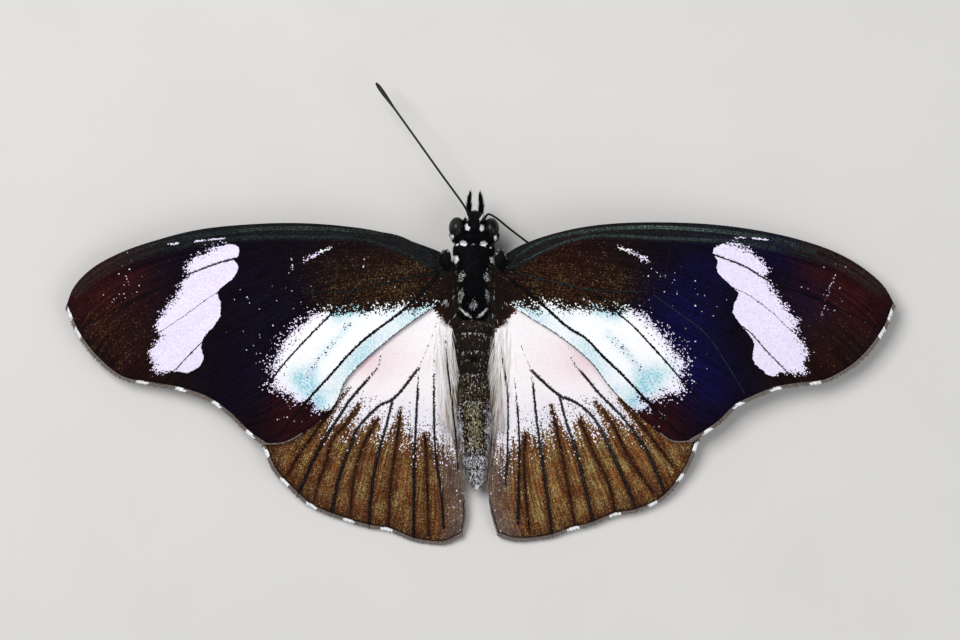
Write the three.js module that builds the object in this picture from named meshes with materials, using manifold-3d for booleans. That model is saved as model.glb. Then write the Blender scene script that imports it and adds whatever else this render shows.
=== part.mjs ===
// A butterfly, dried with its wings spread, resting on its feet.
// Millimetres. +Z is up, +Y points to the head, +X is the insect's right.
// Outline points are [distance out from the body's middle line, distance ahead of the wing roots].

import * as THREE from "three";
import Module from "manifold-3d";
import { mergeVertices } from "three/addons/utils/BufferGeometryUtils.js";

const wasm = await Module();
wasm.setup();

// Driving dimensions
const CLEARANCE = 0.05;
const ROOT_HEIGHT = 5.2;
const WING_REACH = 42;
const REAR_REACH = 24;
const TIP_FALL = { left: 3.9, right: 2.9 };
const REAR_FALL = 4.8;
const DROOP_POWER = 1.6;
const INNER_FOLD = 1.1;
const INNER_FOLD_WIDTH = 1.6;
const INNER_FOLD_LENGTH = 21;
const WING_THICKNESS = 0.2;
const MARGIN_THICKNESS = 0.14;
const WING_LAYER = { forewing: 0.22, hindwing: -0.22 };
const PLEAT_HEIGHT = 0.08;
const WING_ROWS = 17;
const WING_COLUMNS = 17;
const BODY_SIDES = 16;
const EYE_RADII = [0.77, 0.94, 1.0];
const EYE_HEIGHT = 4.45;
const ANTENNA_SHAFT_RADIUS = 0.1;
const ANTENNA_CLUB_RADIUS = 0.23;
const ANTENNA_STEPS = 22;
const THIN_SIDES = 6;
const SOLE_RADIUS = 0.2;
const SOLE_HEIGHT = 0.12;
// The right wing reaches further out, so this moves the middle of the whole span to x = 0.
const SPAN_CENTRING = -0.45;

const SIDE_SIGN = { left: -1, right: 1 };

const WING_OUTLINES = {
  left: {
    forewing: {
      front: [[2.3, 5.2], [3.05, 5.95], [5.55, 7.0], [9.55, 8.25], [13.55, 8.85], [18.0, 9.12],
        [22.55, 9.0], [27.55, 8.5], [31.55, 7.55], [35.55, 6.2], [38.55, 4.55], [40.35, 2.65],
        [41.15, 0.55]],
      outer: [[41.15, 0.55], [40.05, -2.05], [38.05, -4.65], [35.55, -6.55], [32.55, -7.15],
        [29.75, -7.65], [27.05, -8.55], [24.85, -10.05], [22.75, -12.1], [21.35, -13.05]],
      inner: [[2.3, 1.9], [4.55, 0.45], [8.05, -2.05], [11.75, -5.25], [12.95, -6.65],
        [14.05, -9.05], [16.35, -11.25], [19.05, -12.85], [21.35, -13.05]],
    },
    hindwing: {
      front: [[2.3, 2.3], [6.0, 2.0], [10.5, -0.2], [15.0, -3.8], [18.8, -8.0], [20.9, -11.2],
        [21.4, -13.25]],
      outer: [[21.4, -13.25], [20.35, -15.75], [18.45, -17.85], [16.55, -19.45], [13.55, -20.7],
        [11.05, -21.45], [8.75, -21.85], [6.05, -22.9], [3.05, -23.15], [1.35, -22.35]],
      inner: [[2.3, -0.8], [2.35, -3.5], [2.25, -6.5], [2.3, -10.0], [1.75, -13.5],
        [1.3, -17.0], [0.95, -20.05], [1.35, -22.35]],
    },
  },
  right: {
    forewing: {
      front: [[1.95, 5.2], [2.65, 5.75], [4.45, 6.85], [6.95, 7.8], [10.45, 8.65], [14.45, 9.1],
        [20.45, 9.15], [24.45, 8.9], [28.45, 8.35], [32.45, 7.45], [35.95, 6.25], [38.65, 4.75],
        [40.9, 2.8], [42.05, 0.75]],
      outer: [[42.05, 0.75], [41.05, -1.75], [38.45, -4.95], [34.95, -6.9], [32.45, -7.2],
        [29.95, -7.65], [27.95, -8.45], [26.15, -9.35], [24.95, -10.55], [23.45, -11.75],
        [21.75, -12.75]],
      inner: [[1.95, 1.9], [5.45, -0.35], [8.45, -2.25], [11.45, -4.75], [13.45, -7.35],
        [15.45, -9.35], [17.45, -11.05], [19.65, -12.7], [21.75, -12.75]],
    },
    hindwing: {
      front: [[1.95, 2.3], [6.0, 2.0], [10.9, -0.1], [15.6, -3.6], [19.6, -7.8], [21.9, -10.8],
        [22.45, -12.65]],
      outer: [[22.45, -12.65], [21.45, -15.35], [19.15, -18.45], [16.45, -19.85],
        [13.95, -20.35], [11.75, -21.25], [9.45, -21.85], [7.45, -22.55], [3.95, -22.85],
        [2.25, -22.35]],
      inner: [[1.95, -0.8], [1.9, -3.5], [1.9, -6.5], [2.0, -10.0], [1.6, -13.5], [1.3, -17.0],
        [1.45, -19.55], [2.25, -22.35]],
    },
  },
};

// Cross-sections of the body from rear to front: y, middle x, middle z, half width, up, down
const HEAD_SECTIONS = [
  [6.86, -0.12, 4.45, 0.75, 0.9, 0.9],
  [7.1, -0.12, 4.5, 1.3, 1.25, 1.25],
  [7.7, -0.12, 4.55, 1.7, 1.45, 1.45],
  [8.5, -0.12, 4.55, 1.75, 1.5, 1.5],
  [9.4, -0.1, 4.45, 1.5, 1.4, 1.4],
  [10.1, -0.07, 4.3, 1.0, 1.1, 1.1],
  [10.55, -0.06, 4.2, 0.5, 0.6, 0.6],
];
const THORAX_SECTIONS = [
  [-0.4, -0.25, 4.1, 0.9, 1.1, 1.1],
  [-0.1, -0.25, 4.15, 1.45, 1.7, 1.6],
  [0.8, -0.22, 4.2, 1.68, 2.0, 2.0],
  [1.9, -0.22, 4.2, 1.7, 2.2, 2.2],
  [3.3, -0.22, 4.2, 1.9, 2.3, 2.3],
  [4.6, -0.24, 4.2, 2.08, 2.25, 2.3],
  [5.6, -0.22, 4.25, 2.0, 1.95, 2.0],
  [6.3, -0.18, 4.35, 1.5, 1.5, 1.5],
  [6.7, -0.15, 4.4, 0.8, 1.0, 1.0],
];
const ABDOMEN_SECTIONS = [
  [-17.55, 0.15, 1.75, 0.2, 0.2, 0.2],
  [-17.0, 0.13, 1.8, 0.55, 0.5, 0.5],
  [-15.6, 0.08, 2.0, 0.95, 0.85, 0.8],
  [-14.0, -0.04, 2.25, 1.2, 1.1, 1.05],
  [-12.0, -0.1, 2.6, 1.5, 1.35, 1.3],
  [-10.0, -0.16, 2.95, 1.7, 1.5, 1.5],
  [-8.0, -0.2, 3.25, 1.62, 1.5, 1.5],
  [-6.0, -0.22, 3.5, 1.52, 1.45, 1.5],
  [-4.0, -0.26, 3.75, 1.7, 1.55, 1.6],
  [-2.2, -0.3, 3.95, 1.9, 1.7, 1.75],
  [-1.0, -0.3, 4.05, 1.8, 1.6, 1.65],
  [-0.5, -0.28, 4.1, 1.2, 1.1, 1.1],
];

// Where one abdominal ring ends and the next begins, and each ring's size along its own length
const ABDOMEN_RING_EDGES = [-17.55, -15.55, -14.05, -12.35, -10.55, -8.55, -5.85, -3.55, -1.65, -0.5];
const RING_PROFILE = [[0.1, 1.03], [0.7, 1.0], [1, 0.93]];

// Routes of the thin parts: [out, ahead, up]
const EYE_PLACE = { left: [1.87, 8.67], right: [1.55, 8.57] };
const TEGULA_PLACE = { left: [2.95, 5.5, 5.98], right: [2.45, 5.5, 5.98] };
const TEGULA_RADII = [0.62, 1.0, 0.3];
const PALP_ROUTE = {
  left: [[0.55, 9.5, 3.0], [0.66, 10.5, 3.5], [0.62, 11.4, 4.3], [0.51, 12.2, 4.9]],
  right: [[0.4, 9.5, 3.0], [0.56, 10.5, 3.5], [0.52, 11.4, 4.3], [0.43, 12.15, 4.9]],
};
const PALP_RADII = [0.2, 0.25, 0.23, 0.06];
const ANTENNA_ROUTE = {
  left: [[0.7, 10.0, 5.1], [1.1, 10.75, 5.7], [3.4, 13.95, 5.6], [6.6, 18.45, 4.9],
    [9.95, 23.15, 3.7]],
  right: [[0.8, 9.3, 5.3], [1.25, 9.95, 5.75], [2.05, 9.6, 5.5], [3.08, 8.78, 5.1],
    [5.25, 7.15, 4.3], [9.3, 4.4, 3.75], [13.3, 1.6, 3.45]],
};
const PROBOSCIS = { centreAhead: 9.75, centreUp: 2.05, outerRadius: 0.72, innerRadius: 0.2,
  turns: 1.75, radius: 0.11, steps: 34 };
const LEGS = {
  foreleg: {
    route: [[0.55, 5.9, 2.6], [0.95, 6.3, 2.0], [1.25, 7.9, 2.05], [1.2, 8.2, 1.75],
      [1.0, 6.6, 1.25], [0.95, 5.2, 0.95]],
    radii: [0.3, 0.28, 0.2, 0.18, 0.16, 0.07],
  },
  midleg: {
    route: [[0.6, 3.2, 2.3], [1.3, 3.3, 1.7], [4.3, 4.2, 2.75], [4.75, 4.4, 2.6],
      [6.4, 5.5, 0.35], [6.75, 5.7, SOLE_HEIGHT], [8.5, 6.6, SOLE_HEIGHT]],
    radii: [0.38, 0.34, 0.26, 0.24, 0.18, SOLE_RADIUS, SOLE_RADIUS],
  },
  hindleg: {
    route: [[0.6, 1.0, 2.3], [1.3, 0.7, 1.6], [4.1, -1.9, 2.6], [4.5, -2.3, 2.45],
      [6.0, -5.6, 0.35], [6.2, -6.0, SOLE_HEIGHT], [7.4, -8.3, SOLE_HEIGHT]],
    radii: [0.38, 0.34, 0.26, 0.24, 0.18, SOLE_RADIUS, SOLE_RADIUS],
  },
};

// Colours
function finish(color, roughness) {
  return new THREE.MeshStandardMaterial({ color, roughness, metalness: 0 });
}

const FINISHES = {
  body: () => finish("#14151a", 0.7),
  abdomen: () => finish("#4a4038", 0.8),
  eye: () => finish("#20241f", 0.2),
  limb: () => finish("#171314", 0.6),
  forewing: () => finish("#1d1426", 0.75),
  hindwing: () => finish("#8d7460", 0.8),
  tegula: () => finish("#2b2a2e", 0.8),
};

// Closed bodies from vertices and faces, turned so that every face points out
function enclosedVolume(points, faces) {
  let sum = 0;
  const edge = new THREE.Vector3();
  for (const [a, b, c] of faces) sum += points[a].dot(edge.crossVectors(points[b], points[c]));
  return sum / 6;
}

function closedBody(points, faces) {
  const inward = enclosedVolume(points, faces) < 0;
  const turned = inward ? faces.map(([a, b, c]) => [a, c, b]) : faces;
  const geometry = new THREE.BufferGeometry();
  const numbers = points.flatMap((point) => point.toArray());
  geometry.setAttribute("position", new THREE.Float32BufferAttribute(numbers, 3));
  geometry.setIndex(turned.flat());
  return geometry;
}

// Rings of the same number of points, joined in order and closed by a point at each end
function skin(rings, firstEnd, lastEnd) {
  const sides = rings[0].length;
  const points = [...rings.flat(), firstEnd, lastEnd];
  const faces = [];
  const last = (rings.length - 1) * sides;
  for (let i = 0; i < sides; i += 1) {
    const next = (i + 1) % sides;
    for (let ring = 0; ring < rings.length - 1; ring += 1) {
      const low = ring * sides;
      const high = low + sides;
      faces.push([low + i, low + next, high + next], [low + i, high + next, high + i]);
    }
    faces.push([rings.length * sides, next, i]);
    faces.push([rings.length * sides + 1, last + i, last + next]);
  }
  return closedBody(points, faces);
}

// A body of rounded cross-sections along y, made larger all round by grow
function loft(sections, grow = 0) {
  const lastIndex = sections.length - 1;
  const ends = [];
  const rings = sections.map(([ahead, out, up, halfWidth, above, below], index) => {
    const shift = index === 0 ? -grow : index === lastIndex ? grow : 0;
    if (index === 0 || index === lastIndex) ends.push(new THREE.Vector3(out, ahead + shift, up));
    return Array.from({ length: BODY_SIDES }, (_, i) => {
      const angle = (i / BODY_SIDES) * 2 * Math.PI;
      const rise = (Math.sin(angle) > 0 ? above : below) + grow;
      return new THREE.Vector3(out + Math.cos(angle) * (halfWidth + grow), ahead + shift,
        up + Math.sin(angle) * rise);
    });
  });
  return skin(rings, ends[0], ends[1]);
}

// A tube of changing radius along a list of points, its section carried along without twist
function tube(route, radii, sides, lift = 0) {
  const rings = [];
  let across = null;
  route.forEach((point, index) => {
    const before = route[Math.max(index - 1, 0)];
    const after = route[Math.min(index + 1, route.length - 1)];
    const along = after.clone().sub(before).normalize();
    if (across === null) {
      const reference = Math.abs(along.z) > 0.8 ? new THREE.Vector3(1, 0, 0) : new THREE.Vector3(0, 0, 1);
      across = new THREE.Vector3().crossVectors(along, reference).normalize();
    } else {
      across.addScaledVector(along, -across.dot(along)).normalize();
    }
    const other = new THREE.Vector3().crossVectors(along, across);
    rings.push(Array.from({ length: sides }, (_, i) => {
      const angle = ((i + 0.5) / sides) * 2 * Math.PI + lift;
      return point.clone()
        .addScaledVector(across, Math.cos(angle) * radii[index])
        .addScaledVector(other, Math.sin(angle) * radii[index]);
    }));
  });
  return skin(rings, route[0].clone(), route[route.length - 1].clone());
}

// The abdomen's cross-section at any place along it, from the two measured ones beside it
function abdomenSection(ahead) {
  const next = ABDOMEN_SECTIONS.findIndex((section) => section[0] >= ahead);
  const after = ABDOMEN_SECTIONS[Math.max(next, 1)];
  const before = ABDOMEN_SECTIONS[Math.max(next, 1) - 1];
  const share = (ahead - before[0]) / (after[0] - before[0]);
  return before.map((value, index) => THREE.MathUtils.lerp(value, after[index], share));
}

// Each ring swells behind its front edge and overhangs the narrower start of the ring behind it
function ringedAbdomen() {
  const sections = [abdomenSection(ABDOMEN_RING_EDGES[0])];
  for (let ring = 1; ring < ABDOMEN_RING_EDGES.length; ring += 1) {
    const rear = ABDOMEN_RING_EDGES[ring - 1];
    const length = ABDOMEN_RING_EDGES[ring] - rear;
    for (const [share, size] of RING_PROFILE) {
      const [ahead, out, up, ...radii] = abdomenSection(rear + length * share);
      sections.push([ahead, out, up, ...radii.map((radius) => radius * size)]);
    }
  }
  return loft(sections);
}

function ellipsoid(radii, centre, grow = 0) {
  const geometry = new THREE.SphereGeometry(1, 14, 9);
  geometry.deleteAttribute("normal");
  geometry.deleteAttribute("uv");
  geometry.scale(...radii.map((radius) => radius + grow));
  geometry.translate(...centre);
  return mergeVertices(geometry);
}

// Cutting one closed body with others
function toSolid(geometry) {
  const mesh = new wasm.Mesh({
    numProp: 3,
    vertProperties: new Float32Array(geometry.attributes.position.array),
    triVerts: new Uint32Array(geometry.index.array),
  });
  return new wasm.Manifold(mesh);
}

function cutAway(geometry, ...cutters) {
  const cut = cutters.reduce((rest, cutter) => rest.subtract(toSolid(cutter)), toSolid(geometry));
  const mesh = cut.getMesh();
  const result = new THREE.BufferGeometry();
  result.setAttribute("position", new THREE.Float32BufferAttribute(mesh.vertProperties, 3));
  result.setIndex(Array.from(mesh.triVerts));
  return result;
}

// Wings
function onSide(side, [out, ahead, up = 0]) {
  return new THREE.Vector3(SIDE_SIGN[side] * out, ahead, up);
}

// The height of the sheet that both wings of a side lie along, drooping to the tip and the rear
function wingHeight(side, wing, out, ahead) {
  const tipDroop = TIP_FALL[side] * (out / WING_REACH) ** DROOP_POWER;
  const rearDroop = REAR_FALL * (Math.max(0, -ahead) / REAR_REACH) ** DROOP_POWER;
  const beside = Math.exp(-((out / INNER_FOLD_WIDTH - 1) ** 2));
  const along = Math.sin(Math.PI * THREE.MathUtils.clamp(-ahead / INNER_FOLD_LENGTH, 0, 1));
  const fold = wing === "hindwing" ? INNER_FOLD * beside * along : 0;
  return ROOT_HEIGHT - tipDroop - rearDroop - fold + WING_LAYER[wing];
}

function curveThrough(outline) {
  return new THREE.CatmullRomCurve3(outline.map(([out, ahead]) => new THREE.Vector3(out, ahead, 0)));
}

// A point inside four edges: down from root (0) to margin (1), across from front (0) to inner (1)
function insideEdges(edges, down, across) {
  const mix = (a, b, share) => a.clone().lerp(b, share);
  const { front, inner, root, outer } = edges;
  const corners = mix(mix(root(0), root(1), across), mix(outer(0), outer(1), across), down);
  return mix(front(down), inner(down), across)
    .add(mix(root(across), outer(across), down))
    .sub(corners);
}

function wing(side, kind) {
  const outline = WING_OUTLINES[side][kind];
  const curves = Object.fromEntries(Object.entries(outline).map(([name, points]) => [name, curveThrough(points)]));
  const rootFront = curves.front.getPointAt(0);
  const rootInner = curves.inner.getPointAt(0);
  const edges = {
    front: (share) => curves.front.getPointAt(share),
    inner: (share) => curves.inner.getPointAt(share),
    outer: (share) => curves.outer.getPointAt(share),
    root: (share) => rootFront.clone().lerp(rootInner, share),
  };
  const top = [];
  const bottom = [];
  for (let row = 0; row <= WING_ROWS; row += 1) {
    for (let column = 0; column <= WING_COLUMNS; column += 1) {
      const down = row / WING_ROWS;
      const place = insideEdges(edges, down, column / WING_COLUMNS);
      const pleat = PLEAT_HEIGHT * (column % 2 === 0 ? 1 : -1) * down;
      const middle = wingHeight(side, kind, place.x, place.y) + pleat;
      const half = (WING_THICKNESS + (MARGIN_THICKNESS - WING_THICKNESS) * down) / 2;
      top.push(onSide(side, [place.x, place.y, middle + half]));
      bottom.push(onSide(side, [place.x, place.y, middle - half]));
    }
  }
  return sheetBetween(top, bottom, WING_ROWS, WING_COLUMNS);
}

// A thin closed sheet between two grids of points, with a rim round its four edges
function sheetBetween(top, bottom, rows, columns) {
  const wide = columns + 1;
  const under = top.length;
  const faces = [];
  const square = (a, b, c, d) => faces.push([a, b, c], [a, c, d]);
  for (let row = 0; row < rows; row += 1) {
    for (let column = 0; column < columns; column += 1) {
      const a = row * wide + column;
      square(a, a + 1, a + wide + 1, a + wide);
      square(under + a, under + a + wide, under + a + wide + 1, under + a + 1);
    }
  }
  for (let column = 0; column < columns; column += 1) {
    const far = rows * wide + column;
    square(column, under + column, under + column + 1, column + 1);
    square(far, far + 1, under + far + 1, under + far);
  }
  for (let row = 0; row < rows; row += 1) {
    const near = row * wide;
    const far = near + columns;
    square(near, near + wide, under + near + wide, under + near);
    square(far, under + far, under + far + wide, far + wide);
  }
  return closedBody([...top, ...bottom], faces);
}

// Head, eyes, palps, proboscis and antennae
const headGrown = loft(HEAD_SECTIONS, CLEARANCE);
const thoraxGrown = loft(THORAX_SECTIONS, CLEARANCE);

function eye(side, grow = 0) {
  const [out, ahead] = EYE_PLACE[side];
  return ellipsoid(EYE_RADII, [SIDE_SIGN[side] * out, ahead, EYE_HEIGHT], grow);
}

function smoothRoute(points, steps) {
  return new THREE.CatmullRomCurve3(points).getSpacedPoints(steps);
}

// Radii given at even spacing, read off at each of the route's points
function radiiAlong(radii, count) {
  return Array.from({ length: count }, (_, index) => {
    const place = (index / (count - 1)) * (radii.length - 1);
    const low = Math.min(Math.floor(place), radii.length - 2);
    return THREE.MathUtils.lerp(radii[low], radii[low + 1], place - low);
  });
}

function palp(side) {
  const route = smoothRoute(PALP_ROUTE[side].map((point) => onSide(side, point)), 9);
  return cutAway(tube(route, radiiAlong(PALP_RADII, route.length), THIN_SIDES), headGrown);
}

// The shaft is even and the last part swells into a club with a blunt tip
function antennaRadius(share) {
  const clubStart = 0.8;
  const swell = THREE.MathUtils.smoothstep(share, clubStart, 0.93);
  const blunt = Math.sqrt(Math.max(0.05, 1 - Math.max(0, (share - 0.94) / 0.06) ** 2));
  return (ANTENNA_SHAFT_RADIUS + (ANTENNA_CLUB_RADIUS - ANTENNA_SHAFT_RADIUS) * swell) * blunt;
}

function antenna(side) {
  const route = smoothRoute(ANTENNA_ROUTE[side].map((point) => onSide(side, point)), ANTENNA_STEPS);
  const radii = route.map((_, index) => antennaRadius(index / ANTENNA_STEPS));
  return cutAway(tube(route, radii, THIN_SIDES), headGrown, eye(side, CLEARANCE));
}

// A flat spiral in the body's middle plane, from the mouth inwards
function proboscis() {
  const { centreAhead, centreUp, outerRadius, innerRadius, turns, radius, steps } = PROBOSCIS;
  const route = Array.from({ length: steps + 1 }, (_, index) => {
    const share = index / steps;
    const angle = Math.PI / 2 - share * turns * 2 * Math.PI;
    const reach = outerRadius + (innerRadius - outerRadius) * share;
    return new THREE.Vector3(-0.07, centreAhead + Math.cos(angle) * reach, centreUp + Math.sin(angle) * reach);
  });
  return cutAway(tube(route, route.map(() => radius), THIN_SIDES), headGrown);
}

// Legs, flattened where the foot lies on the surface
function leg(side, kind) {
  const { route, radii } = LEGS[kind];
  const geometry = tube(route.map((point) => onSide(side, point)), radii, THIN_SIDES);
  const place = geometry.attributes.position;
  for (let i = 0; i < place.count; i += 1) place.setZ(i, Math.max(0, place.getZ(i)));
  return cutAway(geometry, thoraxGrown);
}

function tegula(side) {
  const [out, ahead, up] = TEGULA_PLACE[side];
  return cutAway(ellipsoid(TEGULA_RADII, [SIDE_SIGN[side] * out, ahead, up]), thoraxGrown);
}

// The whole insect
const butterfly = new THREE.Group();
butterfly.position.x = SPAN_CENTRING;

function addPiece(name, geometry, material) {
  const mesh = new THREE.Mesh(geometry, material);
  mesh.name = name;
  butterfly.add(mesh);
}

addPiece("head", cutAway(loft(HEAD_SECTIONS), eye("left", CLEARANCE), eye("right", CLEARANCE)), FINISHES.body());
addPiece("thorax", loft(THORAX_SECTIONS), FINISHES.body());
addPiece("abdomen", ringedAbdomen(), FINISHES.abdomen());
addPiece("proboscis", proboscis(), FINISHES.limb());
for (const side of ["left", "right"]) {
  addPiece(`eye_${side}`, eye(side), FINISHES.eye());
  addPiece(`palp_${side}`, palp(side), FINISHES.body());
  addPiece(`antenna_${side}`, antenna(side), FINISHES.limb());
  addPiece(`tegula_${side}`, tegula(side), FINISHES.tegula());
  addPiece(`forewing_${side}`, wing(side, "forewing"), FINISHES.forewing());
  addPiece(`hindwing_${side}`, wing(side, "hindwing"), FINISHES.hindwing());
  for (const kind of Object.keys(LEGS)) addPiece(`${kind}_${side}`, leg(side, kind), FINISHES.limb());
}

export default butterfly;
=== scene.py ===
"""A dried butterfly with its wings spread, dressed for close view. Lengths are millimetres until a mesh is made."""
import logging
import math
from dataclasses import dataclass, field
from enum import Enum

import bpy
import numpy as np
from bpy.types import Material, Node, NodeSocket, NodeTree, Object
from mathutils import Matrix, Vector
from numpy import ndarray as Array


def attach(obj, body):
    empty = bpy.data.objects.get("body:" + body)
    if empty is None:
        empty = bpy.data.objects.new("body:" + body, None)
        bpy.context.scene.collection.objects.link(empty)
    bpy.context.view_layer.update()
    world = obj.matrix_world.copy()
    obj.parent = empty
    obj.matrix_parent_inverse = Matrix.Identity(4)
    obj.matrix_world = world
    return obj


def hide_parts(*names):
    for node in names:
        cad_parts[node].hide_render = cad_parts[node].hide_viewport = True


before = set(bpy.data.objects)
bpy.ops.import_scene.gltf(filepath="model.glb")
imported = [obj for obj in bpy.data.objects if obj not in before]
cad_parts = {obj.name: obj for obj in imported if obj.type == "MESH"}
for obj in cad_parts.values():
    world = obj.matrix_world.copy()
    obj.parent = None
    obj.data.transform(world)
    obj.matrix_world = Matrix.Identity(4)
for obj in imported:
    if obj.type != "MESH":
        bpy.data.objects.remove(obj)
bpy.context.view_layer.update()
LOG = logging.getLogger("butterfly")

MM = 0.001
SPAN_CENTRING = -0.45  # the body's middle line lies this far from the middle of the span

# The sheet that a side's two wings lie on: its height at the root and how it falls
ROOT_HEIGHT = 5.2
WING_REACH = 42.0
REAR_REACH = 24.0
REAR_FALL = 4.8
DROOP_POWER = 1.6
INNER_FOLD = 1.1
INNER_FOLD_WIDTH = 1.6
INNER_FOLD_LENGTH = 21.0

FULL_TURN = 2 * math.pi
FAR = 1e9
TINY = 1e-6
Points = list[tuple[float, float]]
Route = list[tuple[float, float, float]]
Spots = list[tuple[float, float, float, float]]
Masks = dict[str, Array]
Feed = NodeSocket | float | str | tuple  # whatever a node's input takes


class Side(Enum):
    """The two sides of the insect, each with the sign of its x."""

    LEFT = -1
    RIGHT = 1

    @property
    def label(self) -> str:
        """The side's name as piece names end in it."""
        return self.name.lower()


class Kind(Enum):
    """The two wings of a side, each with its height above or below their shared sheet."""

    FOREWING = 0.22
    HINDWING = -0.22


TIP_FALL = {Side.LEFT: 3.9, Side.RIGHT: 2.9}


def linear(hex_colour: str) -> tuple[float, float, float, float]:
    """Gives the linear colour that a shader socket wants.

    Args:
        hex_colour: the colour as it looks, such as "#203040".

    Returns:
        Red, green, blue and alpha.
    """
    channels = [int(hex_colour[i:i + 2], 16) / 255 for i in (1, 3, 5)]
    return (*[c / 12.92 if c <= 0.04045 else ((c + 0.055) / 1.055) ** 2.4 for c in channels], 1.0)


def limited(values: Array) -> Array:
    """Keeps values between 0 and 1."""
    return np.clip(values, 0, 1)


def bell(distances: Array, width: float = 1.0) -> Array:
    """Falls off softly on both sides from 1 at no distance."""
    return np.exp(-(distances / width) ** 2)


def round_turn(count: int) -> Array:
    """Gives even-spaced angles round a full turn."""
    return np.linspace(0, FULL_TURN, count, endpoint=False)


def run_along(path: Array) -> Array:
    """Measures the way along a path to each of its points."""
    return np.concatenate([[0], np.cumsum(np.linalg.norm(np.diff(path, axis=0), axis=1))])


def smooth_through(points: Points, count: int) -> Array:
    """Draws an even-spaced smooth curve through points.

    Args:
        points: the points, in two or three dimensions.
        count: how many places to give along the curve.

    Returns:
        An array with one place a row.
    """
    p = np.array(points, float)
    p = np.vstack([2 * p[0] - p[1], p, 2 * p[-1] - p[-2]])
    fine = []
    for a, b, c, d in zip(p, p[1:], p[2:], p[3:]):
        t0 = 0.0
        t1 = t0 + np.linalg.norm(b - a) ** 0.5
        t2 = t1 + np.linalg.norm(c - b) ** 0.5
        t3 = t2 + np.linalg.norm(d - c) ** 0.5
        t = np.linspace(t1, t2, 24, endpoint=False)[:, None]
        ab = (t1 - t) / (t1 - t0) * a + (t - t0) / (t1 - t0) * b
        bc = (t2 - t) / (t2 - t1) * b + (t - t1) / (t2 - t1) * c
        cd = (t3 - t) / (t3 - t2) * c + (t - t2) / (t3 - t2) * d
        abc = (t2 - t) / (t2 - t0) * ab + (t - t0) / (t2 - t0) * bc
        bcd = (t3 - t) / (t3 - t1) * bc + (t - t1) / (t3 - t1) * cd
        fine.append((t2 - t) / (t2 - t1) * abc + (t - t1) / (t2 - t1) * bcd)
    fine = np.vstack([*fine, p[-2:-1]])
    run = run_along(fine)
    want = np.linspace(0, run[-1], count)
    return np.stack([np.interp(want, run, fine[:, k]) for k in range(p.shape[1])], axis=1)


def distance_to_path(places: Array, path: Points | Array) -> Array:
    """Measures how far places lie from a path of straight pieces.

    Args:
        places: one place a row.
        path: the path's points in order.

    Returns:
        One distance for each place.
    """
    path = np.asarray(path, float)
    nearest = np.full(len(places), FAR)
    for a, b in zip(path[:-1], path[1:]):
        along = b - a
        share = limited((places - a) @ along / max(along @ along, TINY ** 2))
        nearest = np.minimum(nearest, np.linalg.norm(places - a - share[:, None] * along, axis=1))
    return nearest


def distance_to_nearest(places: Array, paths: list) -> Array:
    """Measures how far places lie from the nearest of some paths."""
    return np.min([distance_to_path(places, path) for path in paths], axis=0)


def depth_inside(places: Array, outline: Points | Array) -> Array:
    """Measures how deep places lie inside a closed outline.

    Args:
        places: one place a row.
        outline: the outline's corners in order.

    Returns:
        The distance to the outline, negative for a place outside it.
    """
    ring = np.vstack([outline, outline[:1]])
    inside = np.zeros(len(places), bool)
    for (ax, ay), (bx, by) in zip(ring[:-1], ring[1:]):
        if ay == by:
            continue
        crosses = (ay > places[:, 1]) != (by > places[:, 1])
        inside ^= crosses & (places[:, 0] < (bx - ax) * (places[:, 1] - ay) / (by - ay) + ax)
    return np.where(inside, 1, -1) * distance_to_path(places, ring)


def soft_spots(places: Array, spots: Spots) -> Array:
    """Adds up soft round spots.

    Args:
        places: one place a row.
        spots: out, ahead, radius and strength of each spot.

    Returns:
        The strength at each place, from 0 to 1.
    """
    total = np.zeros(len(places))
    for out, ahead, radius, strength in spots:
        near = (places - (out, ahead)) / radius
        total += strength * np.exp(-(near ** 2).sum(1))
    return limited(total)


def make_mesh(name: str, places: Array, faces: list, material: Material | None, masks: Masks | None = None) -> Object:
    """Makes a smooth-shaded object from places in millimetres.

    Args:
        name: the object's name.
        places: one vertex a row.
        faces: the corner numbers of each face; empty for a path of edges.
        material: what it is made of, if anything yet.
        masks: named values, one for each vertex, that materials and node trees read.

    Returns:
        The object, with its place in its mesh.
    """
    mesh = bpy.data.meshes.new(name)
    edges = [] if len(faces) else [(i, i + 1) for i in range(len(places) - 1)]
    mesh.from_pydata((places * MM).tolist(), edges, faces)
    for title, values in (masks or {}).items():
        kind = "FLOAT_VECTOR" if values.ndim == 2 else "FLOAT"
        attribute = mesh.attributes.new(title, kind, "POINT")
        attribute.data.foreach_set("vector" if values.ndim == 2 else "value", values.astype(np.float32).ravel())
    mesh.shade_smooth()
    piece = bpy.data.objects.new(name, mesh)
    bpy.context.scene.collection.objects.link(piece)
    if material:
        mesh.materials.append(material)
    return piece


def seat(piece: Object, slot: str, *nodes: str) -> Object:
    """Puts a finished piece on the insect.

    Args:
        piece: the piece, in its place.
        slot: not used.
        nodes: the solids that it stands for, if any.

    Returns:
        The same piece.
    """
    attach(piece, "root")
    if nodes:
        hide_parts(*nodes)
    LOG.info("%s: %d faces", piece.name, len(piece.data.polygons))
    return piece


def ring_faces(rings: int, sides: int) -> list[tuple[int, ...]]:
    """Lists the faces of a tube of rings with a point at each end.

    Args:
        rings: how many rings there are.
        sides: how many vertices a ring has.

    Returns:
        The faces; the two end points follow the rings' vertices.
    """
    faces = []
    for ring in range(rings - 1):
        low, high = ring * sides, (ring + 1) * sides
        faces += [(low + i, low + (i + 1) % sides, high + (i + 1) % sides, high + i) for i in range(sides)]
    first, last, end = rings * sides, rings * sides + 1, (rings - 1) * sides
    faces += [(first, (i + 1) % sides, i) for i in range(sides)]
    faces += [(last, end + i, end + (i + 1) % sides) for i in range(sides)]
    return faces


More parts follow.
